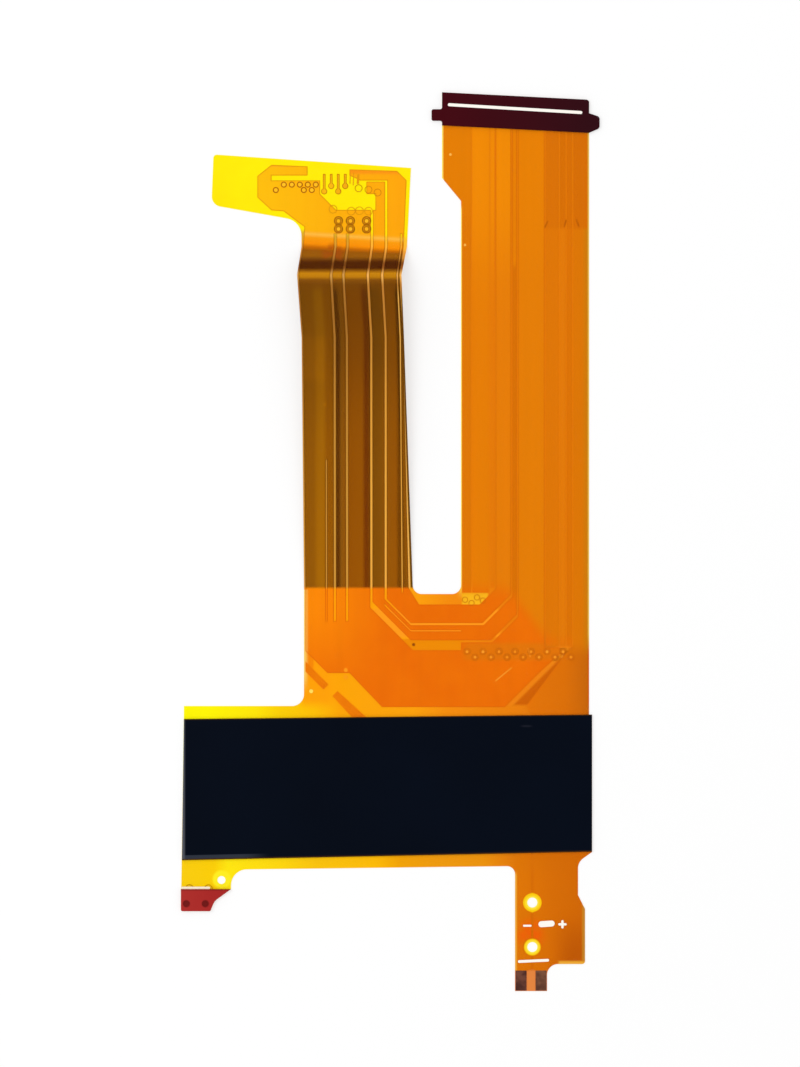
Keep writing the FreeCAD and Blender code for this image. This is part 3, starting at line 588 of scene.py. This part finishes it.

# %% [markdown]
# ## Film of the arms
# The left arm's film is dark in the slots on its left side and light in those on its right, and a
# painted shadow line closes its right edge. The right arm has film only along its edges, at the left
# side of its head and in narrow gaps.

# %% Film of the arms
SLOTS_DARK, SLOTS_GAIN, SLOTS_CHANGE = 0.72, 0.3, (350, 368)
ARM_MARGIN, ARM_EDGE_SHADOW = (-6.6, -5.6), (-2.6, -1.6)
MARGIN_YELLOW, EDGE_SHADOW_BROWN = tone(246, 184, 84), tone(92, 58, 8)
PAD_YELLOW, PAD_ORANGE = tone(255, 228, 90), tone(226, 126, 2)
EDGE_LIGHT, EDGE_DULL = tone(255, 232, 84), tone(232, 186, 70)
GAP_LIGHT, GAP_DARK = tone(233, 131, 7), tone(229, 125, 4)


def left_arm_film(film):
    """The slots with the bend's painted shade and highlight, and the right margin with its painted
    shadow line.
    """
    light = SLOTS_DARK + SLOTS_GAIN * film.rise(film.column, *SLOTS_CHANGE)
    slots = film.shade(along_arm(film, FILM_ALONG_ARM), light)
    inward = from_right_edge(film)
    margin = film.rise(inward, *ARM_MARGIN) * film.rise(film.row, 284, 300)
    # The margin is bare film; the dark line at the very edge is painted shadow.
    outline = film.blend(film.rise(inward, *ARM_EDGE_SHADOW), MARGIN_YELLOW, EDGE_SHADOW_BROWN)
    return film.blend(margin, slots, outline)


def right_arm_film(film, clouds):
    """The film's edges, the left side of the head, and the gaps between the lanes."""
    inside = film.band(film.column, 461.8, 587.3, 0.6)
    head_side = (1 - film.rise(film.row, 202, 212)) * (1 - film.rise(film.column, 470, 472))
    pad = film.blend(film.rise(film.column, 442.6, 444.6), PAD_YELLOW, PAD_ORANGE)
    edge = film.blend(film.rise(film.column, 500, 510), EDGE_LIGHT, EDGE_DULL)
    gaps = film.blend(clouds, GAP_LIGHT, GAP_DARK)
    return film.blend(inside, film.blend(head_side, edge, pad), gaps)


print("film stops on the left arm:", len(FILM_ALONG_ARM))

# %% [markdown]
# ## Base film
# The four zones come together here. The wing's film is the strongest yellow of all.

# %% Base film
WING_YELLOW, WING_GOLD = tone(255, 246, 4), tone(254, 230, 6)
TAPE_ROWS = (740, 840)


def film_finish():
    film = Finish("amber_film", roughness=0.32)
    clouds = film.mottle(0.25)
    body = film.blend(film.rise(film.row, *TAPE_ROWS), film_above_tape(film), film_below_tape(film))
    wing = film.blend(clouds, WING_YELLOW, WING_GOLD)
    coloured = zoned(film, body, left_arm_film(film), right_arm_film(film, clouds), wing)
    return film.wear(coloured, Normal=film.relief(film.mottle(1.2)))


dress("base_film", film_finish())

# %% [markdown]
# ## Copper of the zones
# The copper is never seen bare here: it shows orange through the cover film. It is lightest at the
# wing, and a duller brown among the small vias at the right of the body.

# %% Copper of the zones
COPPER_ROUGHNESS = 0.38
POUR_LIGHT, POUR_DARK, POUR_CORNER = tone(240, 116, 2), tone(230, 100, 1), tone(250, 136, 2)
VIA_BROWN = tone(220, 118, 8)
WING_TOP, WING_PATCH = tone(250, 150, 20), tone(248, 152, 40)
WING_COPPER = [(260, (252, 192, 10)), (330, (253, 180, 9)), (400, (253, 168, 9))]


def body_copper(copper, clouds):
    """Orange, lighter towards the upper left corner of the body."""
    pour = copper.blend(clouds, POUR_LIGHT, POUR_DARK)
    corner = (1 - copper.rise(copper.column, 312, 400)) * (1 - copper.rise(copper.row, 600, 700))
    pour = left_edge(copper, copper.blend(corner, pour, POUR_CORNER))
    by_vias = copper.band(copper.row, 643, 660, 3) * copper.rise(copper.column, 458, 470)
    return copper.blend(0.7 * by_vias, pour, VIA_BROWN)


def wing_copper(copper, clouds):
    """Golden on the left of the wing, orange on the right, and darkest along its top."""
    wing = copper.shade(copper.gradient(copper.column, WING_COPPER), 0.97 + 0.06 * clouds)
    top = copper.rise(copper.column, 342, 350) * (1 - copper.rise(copper.row, 172, 176))
    wing = copper.blend(top, wing, WING_TOP)
    patch = copper.band(copper.column, 268, 294, 4) * (1 - copper.rise(copper.row, 165, 168))
    return copper.blend(0.7 * patch, wing, WING_PATCH)


print("copper stops on the wing:", len(WING_COPPER))

# %% [markdown]
# ## Copper of the lanes
# Every conductor uses the same zones, and each lane of the right arm has its own two shades, one for
# the head and one for the rest, as neighbouring lanes differ a little. Two rows say where one shade
# turns into the other. Fine streaks run along the arms, because rolled copper has such a grain.

# %% Copper of the lanes
STREAKS = (1.0, 0.02, 1.0)
LANES = {
    "ground_conductor": ((227, 125, 2), (230, 128, 0), 200, 300),
    "signal_conductor": ((216, 112, 0), (230, 128, 0), 262, 270),
    "supply_conductor": ((228, 124, 4), (239, 138, 1), 180, 320),
    "right_arm_track_1": ((220, 118, 1), (226, 125, 0), 180, 240),
    "right_arm_track_2": ((229, 125, 1), (239, 138, 1), 180, 320),
    "right_arm_track_3": ((228, 122, 4), (239, 138, 1), 180, 320),
    "right_arm_track_4": ((221, 117, 2), (216, 112, 2), 227, 230),
    "right_arm_track_5": ((225, 121, 5), (214, 110, 1), 227, 230),
    "right_arm_track_6": ((218, 113, 1), (213, 109, 1), 227, 230),
}


def copper_finish(name, low, high, start, end):
    """The copper of one conductor: the high shade is up the right arm, the low one below it."""
    copper = Finish(name, COPPER_ROUGHNESS)
    clouds = copper.mottle(0.35)
    streaks = copper.mottle(1.6, STREAKS)
    body, wing = body_copper(copper, clouds), wing_copper(copper, clouds)
    lane = copper.blend(copper.rise(copper.row, start, end), tone(*high), tone(*low))
    coloured = zoned(copper, body, arm_copper(copper), lane, wing)
    return copper.wear(copper.shade(coloured, 0.96 + streaks * 0.08), Normal=copper.relief(streaks))


for name, shades in LANES.items():
    dress(name, copper_finish(name + "_copper", *shades))

# %% [markdown]
# ## Copper of the tail
# The tail's two conductors are a deeper orange, which darkens towards the lower right corner. One of
# them goes on along the right edge of the body, and up the right arm.

# %% Copper of the tail
LOW_HOLE_PATCH = ((531, 934), 13, 8)
MOTTLED_RED = tone(236, 92, 3)
CORNER_RED = tone(188, 84, 1)
TAIL_COPPER = [(515, (222, 118, 2)), (550, (214, 108, 2)), (580, (208, 102, 1))]
FOOT_COPPER = [(520, (228, 117, 5)), (565, (218, 110, 4)), (588, (196, 98, 6))]
EDGE_LANE = [(573, (219, 117, 1)), (582, (218, 117, 1)), (588, (198, 122, 8))]
HEAD_LANE = tone(212, 108, 1)


def tail_part(copper):
    """The tail itself: darker in its lower right corner, and mottled red round the lower hole."""
    tail = copper.gradient(copper.column, TAIL_COPPER)
    low_corner = copper.rise(copper.row, 900, 960) * copper.rise(copper.column, 545, 575)
    tail = copper.blend(low_corner, tail, CORNER_RED)
    red_patch = copper.near(*LOW_HOLE_PATCH) * copper.rise(copper.mottle(0.5), 0.25, 0.55)
    return tail_edges(copper, copper.blend(red_patch, tail, MOTTLED_RED))


def tail_finish(name):
    """Lane, foot of the body and tail, one after the other down the cable."""
    copper = Finish(name, COPPER_ROUGHNESS)
    clouds = copper.mottle(0.3)
    foot = copper.gradient(copper.column, FOOT_COPPER)
    body = copper.blend(copper.rise(copper.row, *TAPE_ROWS), foot, tail_part(copper))
    lane = copper.gradient(copper.column, EDGE_LANE)
    arm = copper.blend(copper.rise(copper.row, 227, 230), HEAD_LANE, lane)
    coloured = copper.blend(copper.rise(copper.row, 640, 660), arm, body)
    return copper.wear(copper.shade(coloured, 0.97 + clouds * 0.06), Normal=copper.relief(clouds))


for name in ("tail_plus_conductor", "tail_minus_conductor"):
    dress(name, tail_finish(name.replace("conductor", "copper")))

# %% [markdown]
# ## Small copper and bare contacts
# Short strips, fine tracks and via lands have one shade each. The contacts at the end of the tail and
# on the head lie open. They are tinned or gilded, and look brownish here because of what they mirror.


# %% Small copper and bare contacts
def plain_copper(name, light, dark, roughness=COPPER_ROUGHNESS, grain=0.3):
    """One metal with a little mottling from a light to a dark shade."""
    copper = Finish(name, roughness)
    clouds = copper.rise(copper.mottle(grain), 0.3, 0.7)
    return copper.wear(copper.blend(clouds, tone(*light), tone(*dark)), Normal=copper.relief(clouds))


PLAIN = {
    "body_strips": plain_copper("strip_copper", (243, 132, 2), (232, 114, 2)),
    "wing_signal_tracks": plain_copper("fine_track_copper", (250, 190, 20), (240, 166, 18)),
    "wing_vias": plain_copper("wing_land", (255, 200, 40), (252, 184, 24)),
    "body_vias": plain_copper("body_land", (246, 158, 40), (238, 138, 20)),
    "tail_minus_contact": plain_copper("minus_contact_metal", (112, 68, 54), (74, 42, 36), 0.3, 1.2),
    "tail_plus_contact": plain_copper("plus_contact_metal", (122, 80, 58), (88, 54, 42), 0.3, 1.2),
    "head_contacts": plain_copper("head_finger_metal", (190, 160, 100), (156, 126, 74), 0.3),
}
for name, material in PLAIN.items():
    dress(name, material)

# %% [markdown]
# ## Shield tape
# The tape is smooth and almost black, with a cold tint. Its cut edges show a little of the brown
# adhesive, and a strip of painted grey sheen lies along its lower left edge. The left end has a
# painted grey highlight, and there is one small scuff near the upper edge. The two long edges lean, so
# the finish measures how far a point lies below each of them.

# %% Shield tape
LOW_EDGE = ((390.25, 855.65), 0.0207)
HIGH_EDGE = ((184.8, 719.0), 0.0111)
SHEEN_GREY, SCUFF_GREY, END_HIGHLIGHT_GREY = tone(44, 49, 60), tone(26, 28, 39), tone(76, 79, 87)
TAPE_BLACK, TAPE_BLUE, ADHESIVE = tone(0, 4, 15), tone(2, 9, 24), tone(64, 38, 10)


def below_line(finish, start, lean):
    """How far a point lies below a line that rises a little to the right."""
    return finish.row + lean * (finish.column - start[0]) - start[1]


def tape_finish():
    tape = Finish("black_tape", roughness=0.34)
    creases = tape.mottle(0.5, (0.3, 1.0, 1.0))
    colour = tape.blend(tape.mottle(0.08), TAPE_BLACK, TAPE_BLUE)
    past_low, past_high = below_line(tape, *LOW_EDGE), below_line(tape, *HIGH_EDGE)
    # Painted sheen along the lower left edge.
    sheen_strip = tape.rise(past_low, -5.2, -4.2) * (1 - tape.rise(tape.column, 240, 272))
    colour = tape.blend(sheen_strip, colour, SHEEN_GREY)
    scuff = tape.band(tape.row, 725.3, 726.7) * tape.band(tape.column, 522, 531, 3.0)
    colour = tape.blend(scuff, colour, SCUFF_GREY)
    # Painted grey highlight on the tape's left end.
    colour = tape.blend(1 - tape.rise(tape.column, 183.6, 186.0), colour, END_HIGHLIGHT_GREY)
    cut = tape.rise(past_low, -1.8, -0.4) + 1 - tape.rise(past_high, 0.3, 1.3)
    return tape.wear(tape.blend(cut, colour, ADHESIVE), Normal=tape.relief(creases, 0.03, 0.25))


dress("shield_tape", tape_finish())

# %% [markdown]
# ## Plates
# The plate that stiffens the head is a very dark red, a little darker to the right. The plate on the
# tab is a brighter red and has two shallow round dimples; the dimples and the plate's top edge are
# darker. The small grain keeps the plates from looking like flat paint.

# %% Plates
DIMPLES = ((186.5, 903.5), (205.5, 903.5))
DIMPLE_SIZE = (3.4, 1.2)


def plate_colour(plate, left, right, ends):
    """A colour that changes from the plate's left end to its right end, with a few clouds."""
    colour = plate.gradient(plate.column, [(ends[0], left), (ends[1], right)])
    return plate.shade(colour, 0.92 + 0.16 * plate.mottle(0.35))


head_plate = Finish("dark_red_plate", roughness=0.42)
colour = plate_colour(head_plate, (64, 4, 14), (46, 8, 17), (440, 590))
dress("head_stiffener", head_plate.wear(colour, Normal=head_plate.fine_grain()))

tab_plate = Finish("red_plate", roughness=0.42)
colour = plate_colour(tab_plate, (170, 46, 42), (166, 40, 38), (181, 212))
dimples = tab_plate.near(DIMPLES[0], *DIMPLE_SIZE) + tab_plate.near(DIMPLES[1], *DIMPLE_SIZE)
top_edge = 1 - tab_plate.rise(tab_plate.row, 889.6, 891.4)
colour = tab_plate.shade(colour, 1 - 0.58 * dimples - 0.3 * top_edge)
dress("tab_stiffener", tab_plate.wear(colour, Normal=tab_plate.fine_grain()))

# %% [markdown]
# ## Helpers for thin pieces
# Every piece that is added is thin and lies on or in the cable. Its sizes are given in millimetres,
# and bmesh operators make its mesh in metres, right where it belongs, so its object stays at the
# origin. It rides on the cable.


# %% Put a piece into the scene
def add_piece(name, mesh, material):
    """Put a finished bmesh into the scene, riding on the cable."""
    bmesh.ops.recalc_face_normals(mesh, faces=mesh.faces)
    data = bpy.data.meshes.new(name)
    mesh.to_mesh(data)
    mesh.free()
    data.materials.append(material)
    piece = bpy.data.objects.new(name, data)
    scene.collection.objects.link(piece)
    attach(piece, "root")
    print(name, len(data.polygons), "faces")
    return piece


# %% [markdown]
# A stroke is a flat bar from one place to another. It starts as a cube, which is made as long, wide
# and high as the bar. Its upright edges are bevelled round, by a little less than half the width, and
# then it is scaled to metres, turned and moved to where it belongs.

# %% Bars
ROUNDNESS = 0.49
LEAST_RISE = 1e-6


def add_bar(mesh, start, end, width, low, high, segments=5):
    """A straight flat bar from one point to another, with round ends."""
    first, last = Vector((*start, 0.0)), Vector((*end, 0.0))
    run = last - first
    before = set(mesh.verts)
    cube = bmesh.ops.create_cube(mesh, size=1.0)["verts"]
    bmesh.ops.scale(mesh, vec=(run.length + width, width, high - low), verts=cube)
    edges = {edge for vert in cube for edge in vert.link_edges}
    upright = [edge for edge in edges if abs(edge.verts[0].co.z - edge.verts[1].co.z) > LEAST_RISE]
    bevel = {"offset": width * ROUNDNESS, "segments": segments, "profile": 0.5, "affect": "EDGES"}
    bmesh.ops.bevel(mesh, geom=upright, material=-1, **bevel)
    made = [vert for vert in mesh.verts if vert not in before]
    turn = Matrix.Rotation(-Vector((1.0, 0.0)).angle_signed(run.xy, 0.0), 4, "Z")
    shift = Matrix.Translation((first + last) / 2 + Vector((0.0, 0.0, (low + high) / 2)))
    bmesh.ops.transform(mesh, matrix=Matrix.Scale(MM, 4) @ shift @ turn, verts=made)


print("bars: rounded by", ROUNDNESS, "of their width")

# %% [markdown]
# A ring is a small upright rectangle spun once round its middle, and a disc is a very flat cylinder.

# %% Rings and discs
ROUND_STEPS = 24


def add_ring(mesh, centre, radius, width, low, high):
    """A flat ring, spun from a small upright rectangle."""
    middle = Vector((*centre, 0.0)) * MM
    corners = [(radius - width, low), (radius, low), (radius, high), (radius - width, high)]
    verts = [mesh.verts.new(middle + Vector((out, 0.0, up)) * MM) for out, up in corners]
    edges = [mesh.edges.new((verts[index - 1], verts[index])) for index in range(len(verts))]
    turn = {"axis": (0.0, 0.0, 1.0), "angle": math.tau, "steps": ROUND_STEPS}
    bmesh.ops.spin(mesh, geom=verts + edges, cent=middle, use_merge=True, **turn)


def add_disc(mesh, centre, radius, low, high):
    """A flat round disc."""
    size = {"radius1": radius * MM, "radius2": radius * MM, "depth": (high - low) * MM}
    made = bmesh.ops.create_cone(mesh, cap_ends=True, segments=ROUND_STEPS, **size)["verts"]
    bmesh.ops.translate(mesh, vec=Vector((*centre, (low + high) / 2)) * MM, verts=made)


print("rings and discs have", ROUND_STEPS, "sides")

# %% [markdown]
# ## Cover film
# The cover film is clear and only warms what lies under it. The CAD film fills the gaps between the
# copper, so its lower side touches the copper everywhere, and two surfaces in one place would
# flicker. The film is therefore drawn as a thin sheet made from the upper side of the CAD node:
# whatever faces down is taken away, and a little thickness is given back.

# %% Cover film
SHEET = 0.01
SAME_POINT = 1e-7
LOOKS_UP = 0.5


def upper_side(source):
    """The faces of a CAD node that look up, as one joined mesh."""
    mesh = bmesh.new()
    mesh.from_mesh(nodes[source].data)
    bmesh.ops.remove_doubles(mesh, verts=mesh.verts, dist=SAME_POINT)
    mesh.normal_update()
    others = [face for face in mesh.faces if face.normal.z < LOOKS_UP]
    bmesh.ops.delete(mesh, geom=others, context="FACES")
    return mesh


clear = Finish("clear_cover", roughness=0.22, specular=0.1)
clear.wear(tone(236, 150, 6), Alpha=0.01 + 0.03 * clear.mottle(0.12))
cover_mesh = upper_side("cover_film")
bmesh.ops.solidify(cover_mesh, geom=cover_mesh.faces, thickness=SHEET * MM)
cover = add_piece("cover_sheet", cover_mesh, clear.material)
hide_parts("cover_film")
print("cover from", round(min(vert.co.z for vert in cover.data.vertices) / MM, 3), "mm up")

# %% [markdown]
# ## Rims of the copper
# The copper's edges show as a thin darker line through the film, and on the left arm that line is
# painted shadow beside the slots. The line is cut from the CAD node itself: its upper faces are kept,
# an inset makes a narrow band along their edge, and the middle is taken away. A little thickness
# closes the band, which stands a hair above the copper.

# %% Rims of the copper
RIM_RISE = 0.001
RIM_THICKNESS = 0.004


def add_rim(name, source, width, material, slot):
    """A thin band along the upper edges of a CAD node."""
    mesh = upper_side(source)
    inset = {"thickness": width * MM, "use_boundary": True, "use_even_offset": True}
    band = set(bmesh.ops.inset_region(mesh, faces=mesh.faces, **inset)["faces"])
    bmesh.ops.delete(mesh, geom=[face for face in mesh.faces if face not in band], context="FACES")
    bmesh.ops.translate(mesh, vec=(0.0, 0.0, RIM_RISE * MM), verts=mesh.verts)
    bmesh.ops.solidify(mesh, geom=mesh.faces, thickness=-RIM_THICKNESS * MM)
    return add_piece(name, mesh, material)


rim = Finish("copper_rim", roughness=0.45)
# On the left arm the rim is the arm's copper made darker: painted shadow lines beside the slots.
arm_rim_shadow = rim.shade(arm_copper(rim), 0.62)
edge_line_and_shadow = rim.wear(zoned(rim, tone(226, 104, 2), arm_rim_shadow, tone(215, 109, 1), tone(222, 140, 8)))
land_rim = plain_copper("land_rim", (176, 96, 8), (150, 78, 6))
body_land_rim = plain_copper("body_land_rim", (206, 96, 4), (196, 86, 4))
track_rim = plain_copper("track_rim", (190, 112, 8), (172, 96, 6))
RIMS = {
    "ground_rim": ("ground_conductor", 0.07, edge_line_and_shadow, "copper"),
    "signal_rim": ("signal_conductor", 0.07, edge_line_and_shadow, "copper"),
    "supply_rim": ("supply_conductor", 0.07, edge_line_and_shadow, "copper"),
    "wing_via_rims": ("wing_vias", 0.1, land_rim, "plating"),
    "body_via_rims": ("body_vias", 0.06, body_land_rim, "plating"),
    "fine_track_rims": ("wing_signal_tracks", 0.06, track_rim, "copper"),
}
for name, details in RIMS.items():
    add_rim(name, *details)

# %% [markdown]
# ## Small marks in the copper
# Vias too small for solids show as thin rings, and there are also a few light and dark marks, which
# are bare film, dirt or solder. All of them lie under the cover film, so they are placed between the
# copper and that film. One function draws each kind, as often as a list says.

# %% Rings, strokes and spots
MARK_BASE = COPPER_TOP + 0.006
MARK_TOP = MARK_BASE + 0.003
STROKE_SEGMENTS = 3


def add_rings(name, places, radius, width, material):
    mesh = bmesh.new()
    for spot in places:
        add_ring(mesh, place(*spot), radius, width, MARK_BASE, MARK_TOP)
    return add_piece(name, mesh, material)


def add_strokes(name, strokes, material):
    mesh = bmesh.new()
    for start, end, width in strokes:
        add_bar(mesh, place(*start), place(*end), width, MARK_BASE, MARK_TOP, STROKE_SEGMENTS)
    return add_piece(name, mesh, material)


def add_spots(name, places, radius, material):
    mesh = bmesh.new()
    for spot in places:
        add_disc(mesh, place(*spot), radius, MARK_BASE, MARK_TOP)
    return add_piece(name, mesh, material)


print("marks from", round(MARK_BASE, 3), "to", round(MARK_TOP, 3), "mm")

# %% [markdown]
# Most rings lie on the wing, two on the tab, and the others in the body: a few below the notch, and a
# row of them at the right. Each kind has its places, its radius and width in millimetres, and its
# copper.

# %% Small rings
DARK_RINGS = [(column, row) for column in (338.5, 350.4, 366.6) for row in (220.9, 228.9)]
FINE_RINGS = [(358.6, 188.3), (368.5, 189.7), (377.6, 192.6)]
FAINT_RINGS = [(333, 209.3), (351.2, 211.2), (359.4, 210.8), (368.5, 211.2)]
TAB_RINGS = [(189.4, 888.5), (208.4, 888.6)]
NOTCH_RINGS = [(465, 599.7), (471.5, 603.0), (477.0, 597.4), (482.8, 600.6)]
VIA_ROW = [(467 + 8 * count, 651.4 + 5.7 * (count % 2)) for count in range(14)]
DARK_COPPER = ("dark_ring", (160, 84, 8), (120, 58, 4), COPPER_ROUGHNESS, 1.5)
RINGS = {
    "dark_wing_rings": (DARK_RINGS, 0.46, 0.1, DARK_COPPER),
    "fine_wing_rings": (FINE_RINGS, 0.38, 0.06, ("fine_ring", (206, 126, 12), (190, 108, 8))),
    "faint_wing_rings": (FAINT_RINGS, 0.42, 0.06, ("faint_ring", (226, 150, 14), (214, 136, 12))),
    "tab_rings": (TAB_RINGS, 0.42, 0.07, ("tab_ring", (190, 130, 14), (170, 110, 10))),
    "notch_rings": (NOTCH_RINGS, 0.3, 0.06, ("notch_ring", (214, 118, 8), (200, 104, 6))),
    "via_row_rings": (VIA_ROW, 0.36, 0.06, ("via_ring", (206, 106, 6), (192, 94, 4))),
}
for name, (places, radius, width, copper) in RINGS.items():
    add_rings(name, places, radius, width, plain_copper(*copper))

# %% [markdown]
# Three light vias in the body are plain discs: a yellow one at the left, and two orange ones.

# %% Light vias
LIGHT_VIAS = [(345.8, 670), (345.8, 677.3), (311.2, 691.2)]
LIGHT_VIA_COLOURS = [(320, (255, 226, 96)), (340, (253, 158, 28))]
light_via = Finish("light_via", COPPER_ROUGHNESS)
light_via.wear(light_via.gradient(light_via.column, LIGHT_VIA_COLOURS))
add_spots("light_vias", LIGHT_VIAS, 0.2, light_via.material)

# %% [markdown]
# Short strokes stand on the wing, at the upper ends of three lanes, and in the lower right of the
# body. Each runs from one place to another and has a width in millimetres.

# %% Small strokes
WING_LINES = [
    ((350.2, 172.5), (350.0, 183.5), 0.08),
    ((353.6, 173), (353.2, 185), 0.08),
    ((358.4, 175), (357.8, 183), 0.22),
]
LANE_ENDS = [
    ((547.6, 221.5), (545.2, 227), 0.14),
    ((566, 220.5), (564.4, 226), 0.14),
    ((576.4, 220), (578.8, 226), 0.16),
]
SLANTS = [
    ((495.8, 680.6), (511.2, 668.0), 0.16),
    ((561.5, 657.5), (564.6, 651.5), 0.12),
    ((530.2, 656.5), (528.0, 648.5), 0.14),
]
fine_line = plain_copper("fine_line", (236, 160, 16), (226, 144, 12))
lane_end = plain_copper("lane_end", (190, 92, 0), (182, 86, 0))
light_slant = plain_copper("light_slant", (246, 148, 40), (238, 136, 28))
add_strokes("fine_wing_lines", WING_LINES, fine_line)
add_strokes("lane_end_marks", LANE_ENDS, lane_end)
add_strokes("light_slants", SLANTS, light_slant)

# %% [markdown]
# A dark dot lies in the body, a little below the notch, and two pale specks lie near the left edge of
# the right arm.

# %% Dot and specks
DARK_DOT = [(413.6, 644.5)]
SPECKS = [(450.4, 154.6), (465, 245)]
add_spots("dark_dot", DARK_DOT, 0.15, plain_copper("dark_dot_finish", (150, 66, 4), (140, 60, 4)))
add_spots("light_specks", SPECKS, 0.13, plain_copper("speck", (252, 190, 84), (248, 182, 76)))

# %% [markdown]
# ## Printed marks
# White paint marks the insertion line on the head, the edge of the tab's plate and the end of the
# tail. The tail also carries a minus and a plus sign with a short bar between them. The plus is two
# strokes, and one of them is a hair higher, so that their upper faces don't share a place.

# %% Printed marks
PAINT = 0.012
HAIR = 0.002


def paint_finish(name, light, dark):
    paint = Finish(name, roughness=0.5)
    colour = paint.blend(paint.mottle(0.6), tone(*light), tone(*dark))
    return paint.wear(colour, Normal=paint.fine_grain())


def add_marks(name, bars, base, material):
    mesh = bmesh.new()
    for order, (start, end, width) in enumerate(bars):
        add_bar(mesh, place(*start), place(*end), width, base, base + PAINT + order * HAIR)
    return add_piece(name, mesh, material)


white = paint_finish("white_paint", (255, 252, 244), (250, 244, 234))
cream = paint_finish("cream_paint", (255, 246, 226), (252, 238, 206))
PLUS = [((559.4, 924.2), (565.4, 924.2), 0.24), ((562.4, 921.2), (562.4, 927.2), 0.24)]
MARKS = {
    "head_insertion_line": ([((449.3, 105.0), (580.7, 112.8), 0.3)], STIFFENER_TOP, white),
    "tab_line": ([((182.6, 887.8), (209.0, 887.8), 0.24)], COVER_TOP, cream),
    "tail_end_line": ([((519.2, 961.4), (547.7, 960.1), 0.27)], COVER_TOP, white),
    "minus_sign": ([((524.0, 925.6), (530.6, 925.6), 0.2)], COVER_TOP, white),
    "middle_bar": ([((541.4, 924.1), (551.6, 923.4), 0.6)], COVER_TOP, white),
    "plus_sign": (PLUS, COVER_TOP, white),
}
for name, details in MARKS.items():
    add_marks(name, *details)

# %% [markdown]
# ## Floor
# The floor is plain, pale and wide enough for low views from any side. It lies a hair below the cable
# and catches its shadow like paper. Where the camera, or a reflection, sees it directly, part of its
# colour is plain white, so the background stays white and the shadow soft.

# %% Floor
FLOOR_SIZE = 3.0
FLOOR_DROP = 0.02
WHITE_SHARE = 0.6
floor_mesh = bmesh.new()
bmesh.ops.create_grid(floor_mesh, x_segments=1, y_segments=1, size=FLOOR_SIZE)
floor_data = bpy.data.meshes.new("floor")
floor_mesh.to_mesh(floor_data)
floor_mesh.free()
floor = bpy.data.objects.new("floor", floor_data)
floor.location.z = -FLOOR_DROP * MM
paper = Finish("pale_floor", roughness=0.9, specular=0.0)
floor.data.materials.append(paper.wear(tone(252, 252, 252)))
scene.collection.objects.link(floor)
print("floor", floor.dimensions.x, "m wide")

# %% [markdown]
# The three kinds of ray that see the floor directly are added up. Their sum, weakened a little, is how
# much of the plain white is mixed into the paper.

# %% White share of the floor
RAYS = ("Is Camera Ray", "Is Glossy Ray", "Is Transmission Ray")
direct = [paper.add("ShaderNodeLightPath", {}, {}, ray) for ray in RAYS]
white_light = paper.add("ShaderNodeEmission", {}, {"Color": WHITE, "Strength": 1.0})
share = WHITE_SHARE * (direct[0] + direct[1] + direct[2])
surface = Level(paper, paper.shader.outputs[0])
mixed = paper.add("ShaderNodeMixShader", {}, {0: share, 1: surface, 2: white_light})
paper.tree.links.new(mixed.socket, paper.tree.nodes["Material Output"].inputs["Surface"])
print("white share", WHITE_SHARE)
